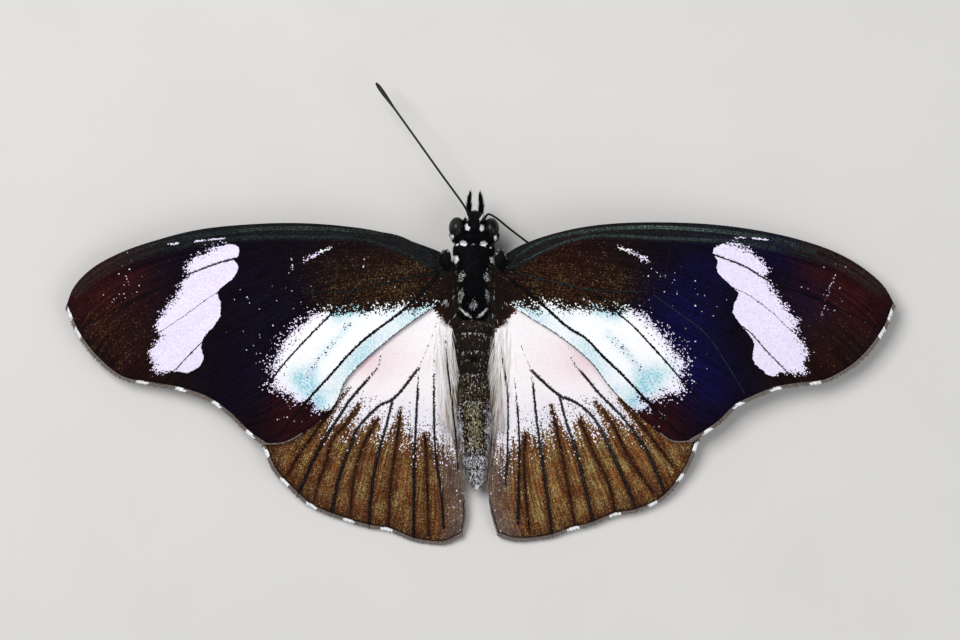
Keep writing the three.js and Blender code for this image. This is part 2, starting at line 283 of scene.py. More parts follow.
def grid_faces(rows: int, columns: int) -> list[tuple[int, ...]]:
    """Lists the faces of a grid, row by row.

    Args:
        rows: how many rows of faces there are.
        columns: how many faces a row has.

    Returns:
        The faces; a row has one vertex more than it has faces.
    """
    wide = columns + 1
    corners = (np.arange(rows)[:, None] * wide + np.arange(columns)).ravel()
    return [(i, i + 1, i + wide + 1, i + wide) for i in corners]


def faces_outward(places: Array, faces: list[tuple[int, ...]]) -> list[tuple[int, ...]]:
    """Turns all faces of a closed shape round if they point in.

    Args:
        places: one vertex a row.
        faces: the shape's faces.

    Returns:
        The faces, pointing out.
    """
    first = np.array([f[:3] for f in faces])
    a, b, c = (places[first[:, k]] - places.mean(0) for k in range(3))
    volume = np.einsum("ij,ij->i", a, np.cross(b, c)).sum()
    return faces if volume > 0 else [f[::-1] for f in faces]


@dataclass
class NodeWriter:
    """A short way to write nodes in one tree."""

    tree: NodeTree

    def node(self, kind: str, inputs: dict | None = None, **settings: object) -> Node:
        """Adds a node.

        Args:
            kind: the node's type.
            inputs: values or sockets for its inputs, by name or number.
            settings: the node's own options.

        Returns:
            The node.
        """
        node = self.tree.nodes.new(kind)
        for key, value in settings.items():
            setattr(node, key, value)
        for key, value in (inputs or {}).items():
            if isinstance(value, NodeSocket):
                self.tree.links.new(value, node.inputs[key])
            else:
                node.inputs[key].default_value = value
        return node

    def value(self, name: str) -> NodeSocket:
        """Reads a named value of the mesh."""
        return self.node("ShaderNodeAttribute", attribute_name=name).outputs["Fac"]

    def math(self, operation: str, *terms: Feed, clamp: bool = False) -> NodeSocket:
        """Does arithmetic on sockets and numbers."""
        inputs = dict(enumerate(terms))
        return self.node("ShaderNodeMath", inputs, operation=operation, use_clamp=clamp).outputs[0]

    def times(self, first: Feed, second: Feed, plus: Feed | None = None, clamp: bool = False) -> NodeSocket:
        """Multiplies two numbers, and adds a third if there is one.

        Args:
            first: a number.
            second: what it is multiplied by.
            plus: what is added, if anything.
            clamp: whether the result is kept between 0 and 1.

        Returns:
            The result.
        """
        if plus is None:
            return self.math("MULTIPLY", first, second, clamp=clamp)
        return self.math("MULTIPLY_ADD", first, second, plus, clamp=clamp)

    def blend(self, share: Feed, first: Feed, second: Feed, mode: str = "MIX") -> NodeSocket:
        """Mixes two colours, each a socket or written such as "#203040".

        Args:
            share: how much of the second colour there is.
            first: a colour.
            second: the other colour.
            mode: the kind of mix.

        Returns:
            The mixed colour.
        """
        first, second = (linear(colour) if isinstance(colour, str) else colour for colour in (first, second))
        inputs = {0: share, 6: first, 7: second}
        return self.node("ShaderNodeMix", inputs, data_type="RGBA", blend_type=mode).outputs[2]

    def ramp(self, item: Feed, low: float, high: float, start: float = 0.0, end: float = 1.0) -> NodeSocket:
        """Turns low..high smoothly into start..end."""
        inputs = {"Value": item, "From Min": low, "From Max": high, "To Min": start, "To Max": end}
        return self.node("ShaderNodeMapRange", inputs, interpolation_type="SMOOTHSTEP").outputs[0]

    def group(self, tree: NodeTree, inputs: dict) -> Node:
        """Places a shared node group."""
        return self.node("ShaderNodeGroup", inputs, node_tree=tree)

    def place(self) -> NodeSocket:
        """Gives the place in the object's own frame."""
        return self.node("ShaderNodeTexCoord").outputs["Object"]

    def coat(self, tree: NodeTree, place: Feed, per_metre: float) -> Node:
        """Places the scale coat group, with its number of scales to the metre."""
        return self.group(tree, {"Vector": place, "Scales per Metre": per_metre})

    def noise(self, scale: float, detail: float, place: Feed | None = None) -> NodeSocket:
        """Places soft noise, with its number of patches to the metre."""
        inputs = {"Scale": scale, "Detail": detail} | ({} if place is None else {"Vector": place})
        return self.node("ShaderNodeTexNoise", inputs).outputs["Fac"]

    def grey(self, shade: NodeSocket) -> NodeSocket:
        """Makes a grey of a number."""
        return self.node("ShaderNodeCombineColor", {0: shade, 1: shade, 2: shade}).outputs[0]

    def attribute(self, name: str, kind: str = "FLOAT") -> NodeSocket:
        """Reads a named value of the mesh in a geometry tree."""
        return self.node("GeometryNodeInputNamedAttribute", {"Name": name}, data_type=kind).outputs[0]

    def vector(self, operation: str, *terms: Feed) -> NodeSocket:
        """Does arithmetic on vectors; SCALE takes the vector and the factor."""
        inputs = {0: terms[0], (3 if operation == "SCALE" else 1): terms[1]}
        return self.node("ShaderNodeVectorMath", inputs, operation=operation).outputs[0]

    def random(self, low: Feed, high: Feed, seed: Feed) -> NodeSocket:
        """Draws a random number, or a random vector where the limits are vectors.

        Args:
            low: the lower limit.
            high: the upper limit.
            seed: the seed of its chance.

        Returns:
            The number or vector.
        """
        first, kind, output = (0, "FLOAT_VECTOR", 0) if isinstance(low, tuple) else (2, "FLOAT", 1)
        inputs = {first: low, first + 1: high, "Seed": seed}
        return self.node("FunctionNodeRandomValue", inputs, data_type=kind).outputs[output]

    def dress(self, surface: Node, gloss: float, colour: Feed, roughness: Feed, relief: Feed | None = None,
              strength: float = 0.3, depth: float = 0.04) -> None:
        """Feeds a surface shader.

        Args:
            surface: the shader.
            gloss: its specular level.
            colour: the socket for its colour.
            roughness: the socket for its roughness.
            relief: the socket for the height of its fine relief, if any.
            strength: how strongly the relief shows.
            depth: the relief's depth in millimetres.
        """
        self.tree.links.new(colour, surface.inputs["Base Color"])
        self.tree.links.new(roughness, surface.inputs["Roughness"])
        if relief is not None:
            bump = self.node("ShaderNodeBump", {"Strength": strength, "Distance": depth * MM, "Height": relief})
            self.tree.links.new(bump.outputs[0], surface.inputs["Normal"])
        surface.inputs["Specular IOR Level"].default_value = gloss


def new_group(name: str, inputs: dict[str, str], outputs: dict[str, str],
              kind: str = "ShaderNodeTree") -> tuple[NodeWriter, dict, dict]:
    """Starts a node group.

    Args:
        name: the group's name.
        inputs: socket types by name.
        outputs: socket types by name.
        kind: the type of its tree.

    Returns:
        A writer for the group, its input sockets and its output sockets.
    """
    tree = bpy.data.node_groups.new(name, kind)
    for title, socket in inputs.items():
        tree.interface.new_socket(title, in_out="INPUT", socket_type=socket)
    for title, socket in outputs.items():
        tree.interface.new_socket(title, in_out="OUTPUT", socket_type=socket)
    start = tree.nodes.new("NodeGroupInput")
    end = tree.nodes.new("NodeGroupOutput")
    return NodeWriter(tree), start.outputs, end.inputs


def scale_coat_group() -> NodeTree:
    """Builds the coat of tiny overlapping scales: a random number for each scale, and their relief.

    Returns:
        The node group.
    """
    shader, start, end = new_group(
        "scale_coat",
        {"Vector": "NodeSocketVector", "Scales per Metre": "NodeSocketFloat"},
        {"Chance": "NodeSocketFloat", "Second Chance": "NodeSocketFloat", "Third Chance": "NodeSocketFloat",
         "Relief": "NodeSocketFloat"})
    cells = shader.node("ShaderNodeTexVoronoi", {"Vector": start["Vector"], "Scale": start["Scales per Metre"]},
                        voronoi_dimensions="3D")
    split = shader.node("ShaderNodeSeparateColor", {"Color": cells.outputs["Color"]})
    link = shader.tree.links.new
    for number, name in enumerate(("Chance", "Second Chance", "Third Chance")):
        link(split.outputs[number], end[name])
    link(cells.outputs["Distance"], end["Relief"])
    return shader.tree


def scattered_edge_group() -> NodeTree:
    """Builds the edge of a marking, where single scales stray past it.

    Returns:
        The node group; its depth is a share of how far the scales stray.
    """
    shader, start, end = new_group("scattered_edge", {"Depth": "NodeSocketFloat", "Chance": "NodeSocketFloat"},
                                   {"Mask": "NodeSocketFloat"})
    even = shader.times(start["Chance"], 2.0, -1.0)
    far = shader.times(shader.times(even, even), even)
    edge = shader.math("ADD", start["Depth"], far)
    shader.tree.links.new(shader.times(edge, 16.0, clamp=True), end["Mask"])
    return shader.tree


@dataclass(frozen=True)
class GroundFloor:
    """The plain pale floor."""

    colour: str = "#d2d0cd"
    mottle: str = "#dad8d5"
    roughness: float = 0.85

    def material(self) -> Material:
        """Builds the floor's material, with a faint mottle.

        Returns:
            The material.
        """
        material, shader, surface = new_material("floor")
        colour = shader.blend(shader.noise(90.0, 4.0), self.colour, self.mottle)
        shader.tree.links.new(colour, surface.inputs["Base Color"])
        surface.inputs["Roughness"].default_value = self.roughness
        return material


def new_material(name: str) -> tuple[Material, NodeWriter, Node]:
    """Starts a material.

    Args:
        name: its name.

    Returns:
        The material, a writer for its tree, and its surface shader.
    """
    material = bpy.data.materials.new(name)
    material.use_nodes = True
    surface = material.node_tree.nodes["Principled BSDF"]
    return material, NodeWriter(material.node_tree), surface


@dataclass(frozen=True)
class WingFinish:
    """The scale coat of one kind of wing: its ground colours, its pale markings, and the forewing's blue sheen and
    glint, painted on as colour.
    """

    name: str
    ground: str
    warm: str
    deep: str
    rust: str
    gold: str
    # glint: colour of the painted highlight on the forewing's front veins; the hindwing sets it to the lilac-grey of
    # its dust
    glint: str = "#93b09c"
    # blue: the colour of the painted blue sheen
    blue: str = "#0e0c3a"
    white: str = "#fbfbfd"
    violet: str = "#ddcbf4"
    cyan: str = "#7ac3d2"
    rose: str = "#efd5db"
    vein: str = "#060507"
    fringe: str = "#7f736d"
    fringe_root: str = "#4c4340"
    worn: str = "#857f86"
    underside: str = "#5d4a3a"
    scales_per_metre: float = 8600.0
    grains_per_metre: float = 14500.0
    clouds_per_metre: float = 650.0
    gloss: float = 0.025

    def ground_colour(self, s: NodeWriter, chances: list, streaks: Feed, cloud: Feed) -> NodeSocket:
        """Mixes the dark ground with its warm, deep and dusted places, its painted blue sheen, and its shine: a painted
        glint on the forewing, lilac-grey dust on the hindwing.

        Args:
            s: the material's writer.
            chances: three random numbers for each scale.
            streaks: the streaks along the wing's rays.
            cloud: soft unevenness.

        Returns:
            The ground's colour.
        """
        chance, second, third = chances
        colour = s.blend(s.value("warm"), self.ground, self.warm)
        colour = s.blend(s.times(s.value("deep"), s.ramp(streaks, 0.35, 0.65, 0.45, 1.0)), colour, self.deep)
        # Painted blue sheen: the wing's structural blue laid on as colour, strong on the right forewing where the light
        # caught it
        blue = s.times(s.value("blue"), s.ramp(chance, 0.0, 1.0, 0.4, 1.0))
        colour = s.blend(blue, colour, self.blue)
        dust = s.times(s.value("dust"), s.ramp(streaks, 0.38, 0.62, 0.6, 1.35))
        dust = s.math("GREATER_THAN", dust, second)
        hue = s.blend(s.ramp(cloud, 0.34, 0.68), self.rust, self.gold)
        colour = s.blend(s.times(dust, s.ramp(third, 0.0, 1.0, 0.1, 0.9)), colour, hue)
        # Shine: on the forewing a painted glint along the front veins, on the hindwing lilac-grey dust of the inner
        # rear
        shine = s.times(s.value("shine"), s.ramp(second, 0.1, 1.0, 0.15, 1.0))
        colour = s.blend(shine, colour, self.glint)
        shade = s.times(chance, 0.9, s.times(cloud, 0.9, 0.05))
        shade = s.times(shade, s.ramp(streaks, 0.25, 0.75, 0.7, 1.3))
        return s.blend(1.0, colour, s.grey(shade), "MULTIPLY")

    def pale_colour(self, s: NodeWriter, chances: list) -> NodeSocket:
        """Mixes the white scales with their blue-green, lilac and rose tints.

        Args:
            s: the material's writer.
            chances: three random numbers for each scale.

        Returns:
            The colour.
        """
        chance, second, third = chances
        colour = s.blend(s.times(s.value("cyan"), s.ramp(second, 0.0, 1.0, 0.35, 1.0)), self.white, self.cyan)
        colour = s.blend(s.times(s.value("violet"), s.ramp(third, 0.0, 1.0, 0.4, 1.0)), colour, self.violet)
        colour = s.blend(s.value("rose"), colour, self.rose)
        grain = s.times(s.ramp(chance, 0.0, 0.4, 0.16, 0.0), s.ramp(second, 0.0, 1.0, 0.2, 1.0))
        return s.blend(grain, colour, self.worn)

    def material(self, coat: NodeTree, edge: NodeTree) -> Material:
        """Builds the wing's material.

        Args:
            coat: the scale coat group.
            edge: the scattered edge group.

        Returns:
            The material.
        """
        material, s, surface = new_material(self.name)
        place = s.place()
        scales = s.coat(coat, place, self.scales_per_metre)
        grains = s.coat(coat, place, self.grains_per_metre)
        chances = list(scales.outputs)[:3]
        chance, second, third = chances
        along = s.node("ShaderNodeCombineXYZ", {"X": s.value("ray"), "Y": s.value("reach")}).outputs[0]
        streaks = s.noise(1.0, 4.0, along)
        cloud = s.noise(self.clouds_per_metre, 5.0, place)
        ground = self.ground_colour(s, list(grains.outputs)[:3], streaks, cloud)
        depth = s.times(s.math("SUBTRACT", streaks, 0.5), s.value("streaky"), s.value("white"))
        white = s.group(edge, {"Depth": depth, "Chance": chance}).outputs[0]
        fleck = s.math("GREATER_THAN", s.value("fleck"), s.times(third, 40.0, 0.05))
        fleck = s.times(fleck, s.ramp(second, 0.0, 1.0, 0.25, 0.9))
        white = s.math("MAXIMUM", white, fleck)
        colour = s.blend(white, ground, self.pale_colour(s, chances))
        line = s.group(edge, {"Depth": s.value("line"), "Chance": second}).outputs[0]
        colour = s.blend(s.times(line, s.value("ink")), colour, self.vein)
        colour = s.blend(s.ramp(s.value("rim"), 0.45, 0.62, 0.8, 0.0), colour, self.vein)
        edging = s.blend(s.ramp(chance, 0.0, 1.0, 0.0, 0.8), self.fringe, self.fringe_root)
        edging = s.blend(s.math("GREATER_THAN", s.value("dash"), s.times(third, 0.2)), edging, self.white)
        colour = s.blend(s.ramp(s.value("rim"), 0.36, 0.42, 1.0, 0.0), colour, edging)
        colour = s.blend(s.times(s.value("under"), 0.3), colour, self.underside)
        s.dress(surface, self.gloss, colour, s.ramp(chance, 0.0, 1.0, 0.6, 0.85), scales.outputs[3])
        return material


@dataclass(frozen=True)
class VeinFinish:
    """The raised veins: near black, bluish where they catch the light, white-scaled near the root."""

    dark: str = "#070608"
    glint: str = "#6f8f92"
    white: str = "#f0f0f2"
    scales_per_metre: float = 7000.0
    gloss: float = 0.1

    def material(self, coat: NodeTree) -> Material:
        """Builds the veins' material.

        Args:
            coat: the scale coat group.

        Returns:
            The material.
        """
        material, s, surface = new_material("vein")
        place = s.place()
        scales = s.coat(coat, place, self.scales_per_metre)
        chance, second = scales.outputs[0], scales.outputs[1]
        lit = s.times(s.value("tint"), s.ramp(second, 0.0, 1.0, 0.25, 1.0))
        colour = s.blend(lit, self.dark, self.glint)
        colour = s.blend(s.math("GREATER_THAN", s.value("pale"), chance), colour, self.white)
        s.dress(surface, self.gloss, colour, s.ramp(chance, 0.0, 1.0, 0.45, 0.7))
        return material


@dataclass(frozen=True)
class FurFinish:
    """Plain hair or horn with a little variation along it."""

    name: str
    dark: str
    light: str
    roughness: float = 0.55
    spots_per_metre: float = 1500.0
    contrast: float = 0.5
    gloss: float = 0.25

    def material(self) -> Material:
        """Builds the material.

        Returns:
            The material.
        """
        material, s, surface = new_material(self.name)
        place = s.place()
        noise = s.noise(self.spots_per_metre, 3.0, place)
        share = s.ramp(noise, 0.5 - self.contrast / 2, 0.5 + self.contrast / 2)
        s.dress(surface, self.gloss, s.blend(share, self.dark, self.light),
                s.ramp(noise, 0.2, 0.8, self.roughness - 0.1, self.roughness + 0.1))
        return material


def new_geometry_group(name: str, inputs: dict[str, str]) -> tuple[NodeWriter, dict, dict]:
    """Starts a geometry node tree that takes and gives one geometry.

    Args:
        name: the tree's name.
        inputs: types of its further inputs by name.

    Returns:
        A writer for the tree, its input sockets and its output sockets.
    """
    sockets = {"Geometry": "NodeSocketGeometry"} | {key: f"NodeSocket{kind}" for key, kind in inputs.items()}
    return new_group(name, sockets, {"Geometry": "NodeSocketGeometry"}, "GeometryNodeTree")


def finish_tree(writer: NodeWriter, last: NodeSocket, start: dict, end: dict) -> NodeTree:
    """Ends a geometry tree in real, smooth-shaded faces of one material.

    Args:
        writer: the tree's writer.
        last: the geometry so far.
        start: the tree's input sockets.
        end: the tree's output sockets.

    Returns:
        The tree.
    """
    real = writer.node("GeometryNodeRealizeInstances", {"Geometry": last}).outputs[0]
    smooth = writer.node("GeometryNodeSetShadeSmooth", {"Geometry": real, "Shade Smooth": True}).outputs[0]
    dressed = writer.node("GeometryNodeSetMaterial", {"Geometry": smooth, "Material": start["Material"]}).outputs[0]
    writer.tree.links.new(dressed, end["Geometry"])
    return writer.tree


def tube_tree() -> NodeTree:
    """Builds round tubes along paths, as thick as each point's girth.

    Returns:
        The tree.
    """
    w, start, end = new_geometry_group("tube_along_path",
                                       {"Sides": "Int", "Thickness": "Float", "Material": "Material"})
    path = w.node("GeometryNodeMeshToCurve", {"Mesh": start["Geometry"]}).outputs[0]
    circle = w.node("GeometryNodeCurvePrimitiveCircle", {"Resolution": start["Sides"], "Radius": 1.0}).outputs[0]
    girth = w.times(w.attribute("girth"), start["Thickness"])
    skin = w.node("GeometryNodeCurveToMesh", {"Curve": path, "Profile Curve": circle, "Scale": girth,
                                              "Fill Caps": True}).outputs[0]
    return finish_tree(w, skin, start, end)


def strand_geometry(w: NodeWriter, start: dict) -> NodeSocket:
    """Makes one strand in a tree: a leaf-like blade along z that bends over.

    Args:
        w: the tree's writer.
        start: the tree's inputs, of which Length, Width, Flatness and Bend are read.

    Returns:
        The strand's geometry.
    """
    cone = w.node("GeometryNodeMeshCone", {"Vertices": 4, "Side Segments": 3, "Radius Bottom": start["Width"],
                                           "Radius Top": 0.0, "Depth": start["Length"]}, fill_type="NGON").outputs[0]
    place = w.node("ShaderNodeSeparateXYZ", {0: w.node("GeometryNodeInputPosition").outputs[0]})
    share = w.math("DIVIDE", place.outputs[2], start["Length"])
    slim = w.math("DIVIDE", w.times(share, 0.9, 0.55), w.math("SQRT", w.math("SUBTRACT", 1.03, share)))
    thin = w.times(slim, start["Flatness"])
    fall = w.times(w.times(share, share), w.times(start["Bend"], start["Length"]))
    x = w.math("SUBTRACT", w.times(place.outputs[0], thin), fall)
    y = w.times(place.outputs[1], slim)
    bent = w.node("ShaderNodeCombineXYZ", {0: x, 1: y, 2: place.outputs[2]}).outputs[0]
    bent = w.node("GeometryNodeSetPosition", {"Geometry": cone, "Position": bent}).outputs[0]
    return w.node("GeometryNodeStoreNamedAttribute", {"Geometry": bent, "Name": "rise", "Value": share},
                  data_type="FLOAT", domain="POINT").outputs[0]


STRAND_INPUTS = {"Length": "Float", "Width": "Float", "Flatness": "Float", "Bend": "Float", "Scatter": "Float",
                 "Lift": "Float", "Seed": "Int", "Material": "Material"}
TONE_SEED = 7


def plant(w: NodeWriter, start: dict, points: NodeSocket, normal: NodeSocket) -> NodeSocket:
    """Puts a strand on each point, combed along the mesh's comb direction.

    Args:
        w: the tree's writer.
        start: the tree's inputs.
        points: where the strands stand.
        normal: the surface's outward direction at each.

    Returns:
        The strands, as instances.
    """
    stray = w.vector("SCALE", w.random((-1, -1, -1), (1, 1, 1), start["Seed"]), start["Scatter"])
    lift = w.vector("SCALE", normal, start["Lift"])
    way = w.vector("ADD", w.vector("ADD", w.attribute("comb", "FLOAT_VECTOR"), stray), lift)
    turn = w.node("FunctionNodeAlignRotationToVector", {"Vector": way}, axis="Z").outputs[0]
    turn = w.node("FunctionNodeAlignRotationToVector", {"Rotation": turn, "Vector": normal}, axis="X",
                  pivot_axis="Z").outputs[0]
    size = w.random(0.7, 1.25, start["Seed"])
    length = w.times(size, w.attribute("growth"))
    size = w.node("ShaderNodeCombineXYZ", {0: size, 1: size, 2: length}).outputs[0]
    strands = w.node("GeometryNodeInstanceOnPoints", {"Points": points, "Instance": strand_geometry(w, start),
                                                      "Rotation": turn, "Scale": size}).outputs[0]
    return w.node("GeometryNodeStoreNamedAttribute",
                  {"Geometry": strands, "Name": "tone", "Value": w.random(0.0, 1.0, TONE_SEED)},
                  data_type="FLOAT", domain="INSTANCE").outputs[0]


def coat_tree() -> NodeTree:
    """Plants strands over a surface, as thickly as its cover says.

    Returns:
        The tree.
    """
    w, start, end = new_geometry_group("strands_on_surface", {"Strands per Square Metre": "Float"} | STRAND_INPUTS)
    density = w.times(w.attribute("cover"), start["Strands per Square Metre"])
    spread = w.node("GeometryNodeDistributePointsOnFaces",
                    {"Mesh": start["Geometry"], "Density": density, "Seed": start["Seed"]})
    return finish_tree(w, plant(w, start, spread.outputs[0], spread.outputs[1]), start, end)


def fringe_tree() -> NodeTree:
    """Plants an even row of strands along a path.

    Returns:
        The tree.
    """
    w, start, end = new_geometry_group("strands_on_edge", {"Spacing": "Float"} | STRAND_INPUTS)
    path = w.node("GeometryNodeMeshToCurve", {"Mesh": start["Geometry"]}).outputs[0]
    points = w.node("GeometryNodeCurveToPoints", {"Curve": path, "Length": start["Spacing"]}, mode="LENGTH").outputs[0]
    up = w.node("ShaderNodeCombineXYZ", {2: 1.0}).outputs[0]
    return finish_tree(w, plant(w, start, points, up), start, end)


def grow(name: str, base: Object, tree: NodeTree, **sizes: object) -> Object:
    """Runs a geometry tree on an object and keeps the result as a plain mesh.

    Args:
        name: the new piece's name.
        base: the surface or path.
        tree: the tree.
        sizes: values of its inputs, spaces in names written as _.

    Returns:
        The new piece.
    """
    modifier = base.modifiers.new("growth", "NODES")
    modifier.node_group = tree
    for item in tree.interface.items_tree:
        key = item.name.replace(" ", "_").lower()
        if item.in_out == "INPUT" and key in sizes:
            modifier[item.identifier] = sizes[key]
    evaluated = base.evaluated_get(bpy.context.evaluated_depsgraph_get())
    mesh = bpy.data.meshes.new_from_object(evaluated)
    base.modifiers.remove(modifier)
    piece = bpy.data.objects.new(name, mesh)
    mesh.name = name
    bpy.context.scene.collection.objects.link(piece)
    return piece


@dataclass(frozen=True)
class StrandStyle:
    """One kind of scale or hair, in millimetres, and how thickly it grows on a surface or along an edge."""

    length: float
    width: float
    lift: float
    seed: int
    flatness: float = 0.3
    bend: float = 0.25
    scatter: float = 0.3
    per_square_mm: float = 0.0
    spacing: float = 0.0

    def grow_on(self, base: Object, name: str, tree: NodeTree, material: Material) -> Object:
        """Grows the strands as one mesh.

        Args:
            base: the surface or edge that they stand on.
            name: the new piece's name.
            tree: the tree that plants them.
            material: what they are made of.

        Returns:
            The new piece.
        """
        return grow(name, base, tree, length=self.length * MM, width=self.width * MM, lift=self.lift, seed=self.seed,
                    flatness=self.flatness, bend=self.bend, scatter=self.scatter, spacing=self.spacing * MM,
                    strands_per_square_metre=self.per_square_mm * 1e6, material=material)


@dataclass
class Trees:
    """The geometry trees that pieces share."""

    tube: NodeTree = field(default_factory=tube_tree)
    coat: NodeTree = field(default_factory=coat_tree)
    fringe: NodeTree = field(default_factory=fringe_tree)

    def tubes(self, name: str, paths: list[Array], girths: list[Array], material: Material,
              sides: int = 8, masks: dict[str, list[Array]] | None = None) -> Object:
        """Lays tubes along paths.

        Args:
            name: the piece's name.
            paths: each path's places in millimetres.
            girths: each path's radii in millimetres.
            material: what the tubes are made of.
            sides: how many sides a tube has.
            masks: named values along each path.

        Returns:
            The tubes as one mesh.
        """
        mesh = bpy.data.meshes.new("path")
        edges, first = [], 0
        for path in paths:
            edges += [(first + i, first + i + 1) for i in range(len(path) - 1)]
            first += len(path)
        mesh.from_pydata((np.vstack(paths) * MM).tolist(), edges, [])
        values = {"girth": np.concatenate(girths) * MM} | {k: np.concatenate(v) for k, v in (masks or {}).items()}
        for title, value in values.items():
            mesh.attributes.new(title, "FLOAT", "POINT").data.foreach_set("value", value.astype(np.float32))
        base = bpy.data.objects.new("path", mesh)
        bpy.context.scene.collection.objects.link(base)
        piece = grow(name, base, self.tube, sides=sides, thickness=1.0, material=material)
        bpy.data.objects.remove(base)
        return piece


def body_place(x: float, y: float, z: float) -> tuple[float, float, float]:
    """Moves a place measured from the body's middle line into the object's frame."""
    return (x + SPAN_CENTRING, y, z)


@dataclass(frozen=True)
class CoatFinish:
    """Scales or hairs of the body: dark, gold-dusted, frosted grey or white."""

    name: str
    dark: str = "#050609"
    brown: str = "#2e241e"
    gold: str = "#d2cba4"
    frost: str = "#f3f1f7"
    white: str = "#fbfbfd"
    roughness: float = 0.6
    gloss: float = 0.08
    shade: float = 0.7
    scales_per_metre: float = 11000.0
    strands: bool = False

    def material(self, coat: NodeTree) -> Material:
        """Builds the coat's material.

        Args:
            coat: the scale coat group.

        Returns:
            The material.
        """
        material, s, surface = new_material(self.name)
        place = s.place()
        scales = s.coat(coat, place, self.scales_per_metre)
        chance = s.value("tone") if self.strands else scales.outputs[0]
        second = s.math("FRACT", s.times(chance, 7.3))
        colour = s.blend(s.times(s.value("brown"), s.ramp(second, 0.0, 1.0, 0.6, 1.0)), self.dark, self.brown)
        for mask, shade in (("gold", self.gold), ("frost", self.frost)):
            share = s.math("GREATER_THAN", s.value(mask), s.times(second, 0.95, 0.04))
            colour = s.blend(s.times(share, s.ramp(chance, 0.0, 0.8, 0.3, 1.0)), colour, shade)
        spot = s.math("GREATER_THAN", s.value("spot"), s.times(chance, 0.16, -0.12))
        colour = s.blend(spot, colour, self.white)
        shade = s.ramp(chance, 0.0, 1.0, self.shade, 1.08)
        colour = s.blend(1.0, colour, s.grey(shade), "MULTIPLY")
        roughness = s.ramp(chance, 0.0, 1.0, self.roughness - 0.12, self.roughness + 0.12)
        s.dress(surface, self.gloss, colour, roughness, scales.outputs[3])
        return material


@dataclass(frozen=True)
class EyeFinish:
    """The glossy many-lensed eye."""

    dark: str = "#080a09"
    sheen: str = "#20251f"
    lenses_per_metre: float = 16000.0
    mottles_per_metre: float = 1400.0
    gloss: float = 0.22

    def material(self) -> Material:
        """Builds the eye's material.

        Returns:
            The material.
        """
        material, s, surface = new_material("eye_lenses")
        place = s.place()
        lens = s.node("ShaderNodeTexVoronoi", {"Vector": place, "Scale": self.lenses_per_metre, "Randomness": 0.25})
        mottle = s.noise(self.mottles_per_metre, 2.0, place)
        # The grey-green is a painted sheen, laid strongest on the eye's top and fading toward its lower rim
        share = s.times(s.ramp(mottle, 0.35, 0.7), s.ramp(s.value("crown"), 0.0, 1.0, 0.1, 1.0))
        s.dress(surface, self.gloss, s.blend(share, self.dark, self.sheen),
                s.ramp(lens.outputs["Distance"], 0.0, 0.6, 0.12, 0.35), lens.outputs["Distance"], 0.25, 0.02)
        return material


# The body's cross-sections: ahead, out, up, half width, height above and depth below
HEAD_SECTIONS = [
    (6.86, -0.12, 4.45, 0.75, 0.9, 0.9), (7.1, -0.12, 4.5, 1.4, 1.25, 1.25), (7.6, -0.12, 4.55, 1.65, 1.4, 1.4),
    (8.1, -0.12, 4.55, 1.3, 1.5, 1.5), (8.7, -0.11, 4.55, 1.04, 1.5, 1.5), (9.2, -0.1, 4.45, 1.1, 1.4, 1.4),
    (9.7, -0.07, 4.3, 0.98, 1.2, 1.2), (10.05, -0.06, 4.2, 0.75, 0.95, 0.95), (10.27, -0.06, 4.1, 0.45, 0.6, 0.6),
    (10.36, -0.06, 4.05, 0.15, 0.25, 0.25)]
THORAX_SECTIONS = [
    (-0.4, -0.25, 4.1, 0.9, 1.1, 1.1), (-0.1, -0.25, 4.15, 1.45, 1.7, 1.6), (0.8, -0.22, 4.2, 1.68, 2.0, 2.0),
    (1.9, -0.22, 4.2, 1.7, 2.2, 2.2), (3.3, -0.22, 4.2, 1.9, 2.3, 2.3), (4.6, -0.24, 4.2, 2.08, 2.25, 2.3),
    (5.6, -0.22, 4.25, 2.0, 1.95, 2.0), (6.3, -0.18, 4.35, 1.5, 1.5, 1.5), (6.7, -0.15, 4.4, 0.8, 1.0, 1.0)]
ABDOMEN_SECTIONS = [
    (-17.55, 0.15, 1.75, 0.2, 0.2, 0.2), (-17.0, 0.13, 1.8, 0.55, 0.5, 0.5), (-15.6, 0.08, 2.0, 0.95, 0.85, 0.8),
    (-14.0, -0.04, 2.25, 1.2, 1.1, 1.05), (-12.0, -0.1, 2.6, 1.5, 1.35, 1.3), (-10.0, -0.16, 2.95, 1.7, 1.5, 1.5),
    (-8.0, -0.2, 3.25, 1.62, 1.5, 1.5), (-6.0, -0.22, 3.5, 1.52, 1.45, 1.5), (-4.0, -0.26, 3.75, 1.7, 1.55, 1.6),
    (-2.2, -0.3, 3.95, 1.9, 1.7, 1.75), (-1.0, -0.3, 4.05, 1.8, 1.6, 1.65), (-0.5, -0.28, 4.1, 1.2, 1.1, 1.1)]
ABDOMEN_RING_EDGES = (-17.55, -15.55, -14.05, -12.35, -10.55, -8.55, -5.85, -3.55, -1.65, -0.5)

# The furry rim behind each eye: ahead, out, up and radius; the head lies this far left of the body's middle line
HEAD_ASIDE = 0.11
CHEEK_SECTIONS = [(7.05, 1.6, 4.3, 0.25), (7.25, 1.66, 4.3, 0.5), (7.6, 1.76, 4.35, 0.7), (8.0, 1.82, 4.35, 0.74),
                  (8.35, 1.8, 4.3, 0.6), (8.6, 1.75, 4.3, 0.3)]
COLLAR_SECTIONS = [
    (5.6, -0.22, 4.3, 1.5, 1.5, 1.4), (6.0, -0.2, 4.3, 1.95, 1.62, 1.5), (6.4, -0.16, 4.35, 2.05, 1.45, 1.4),
    (6.8, -0.13, 4.35, 2.0, 1.25, 1.3), (7.15, -0.12, 4.35, 1.8, 1.05, 1.1), (7.35, -0.12, 4.35, 1.2, 0.7, 0.8)]

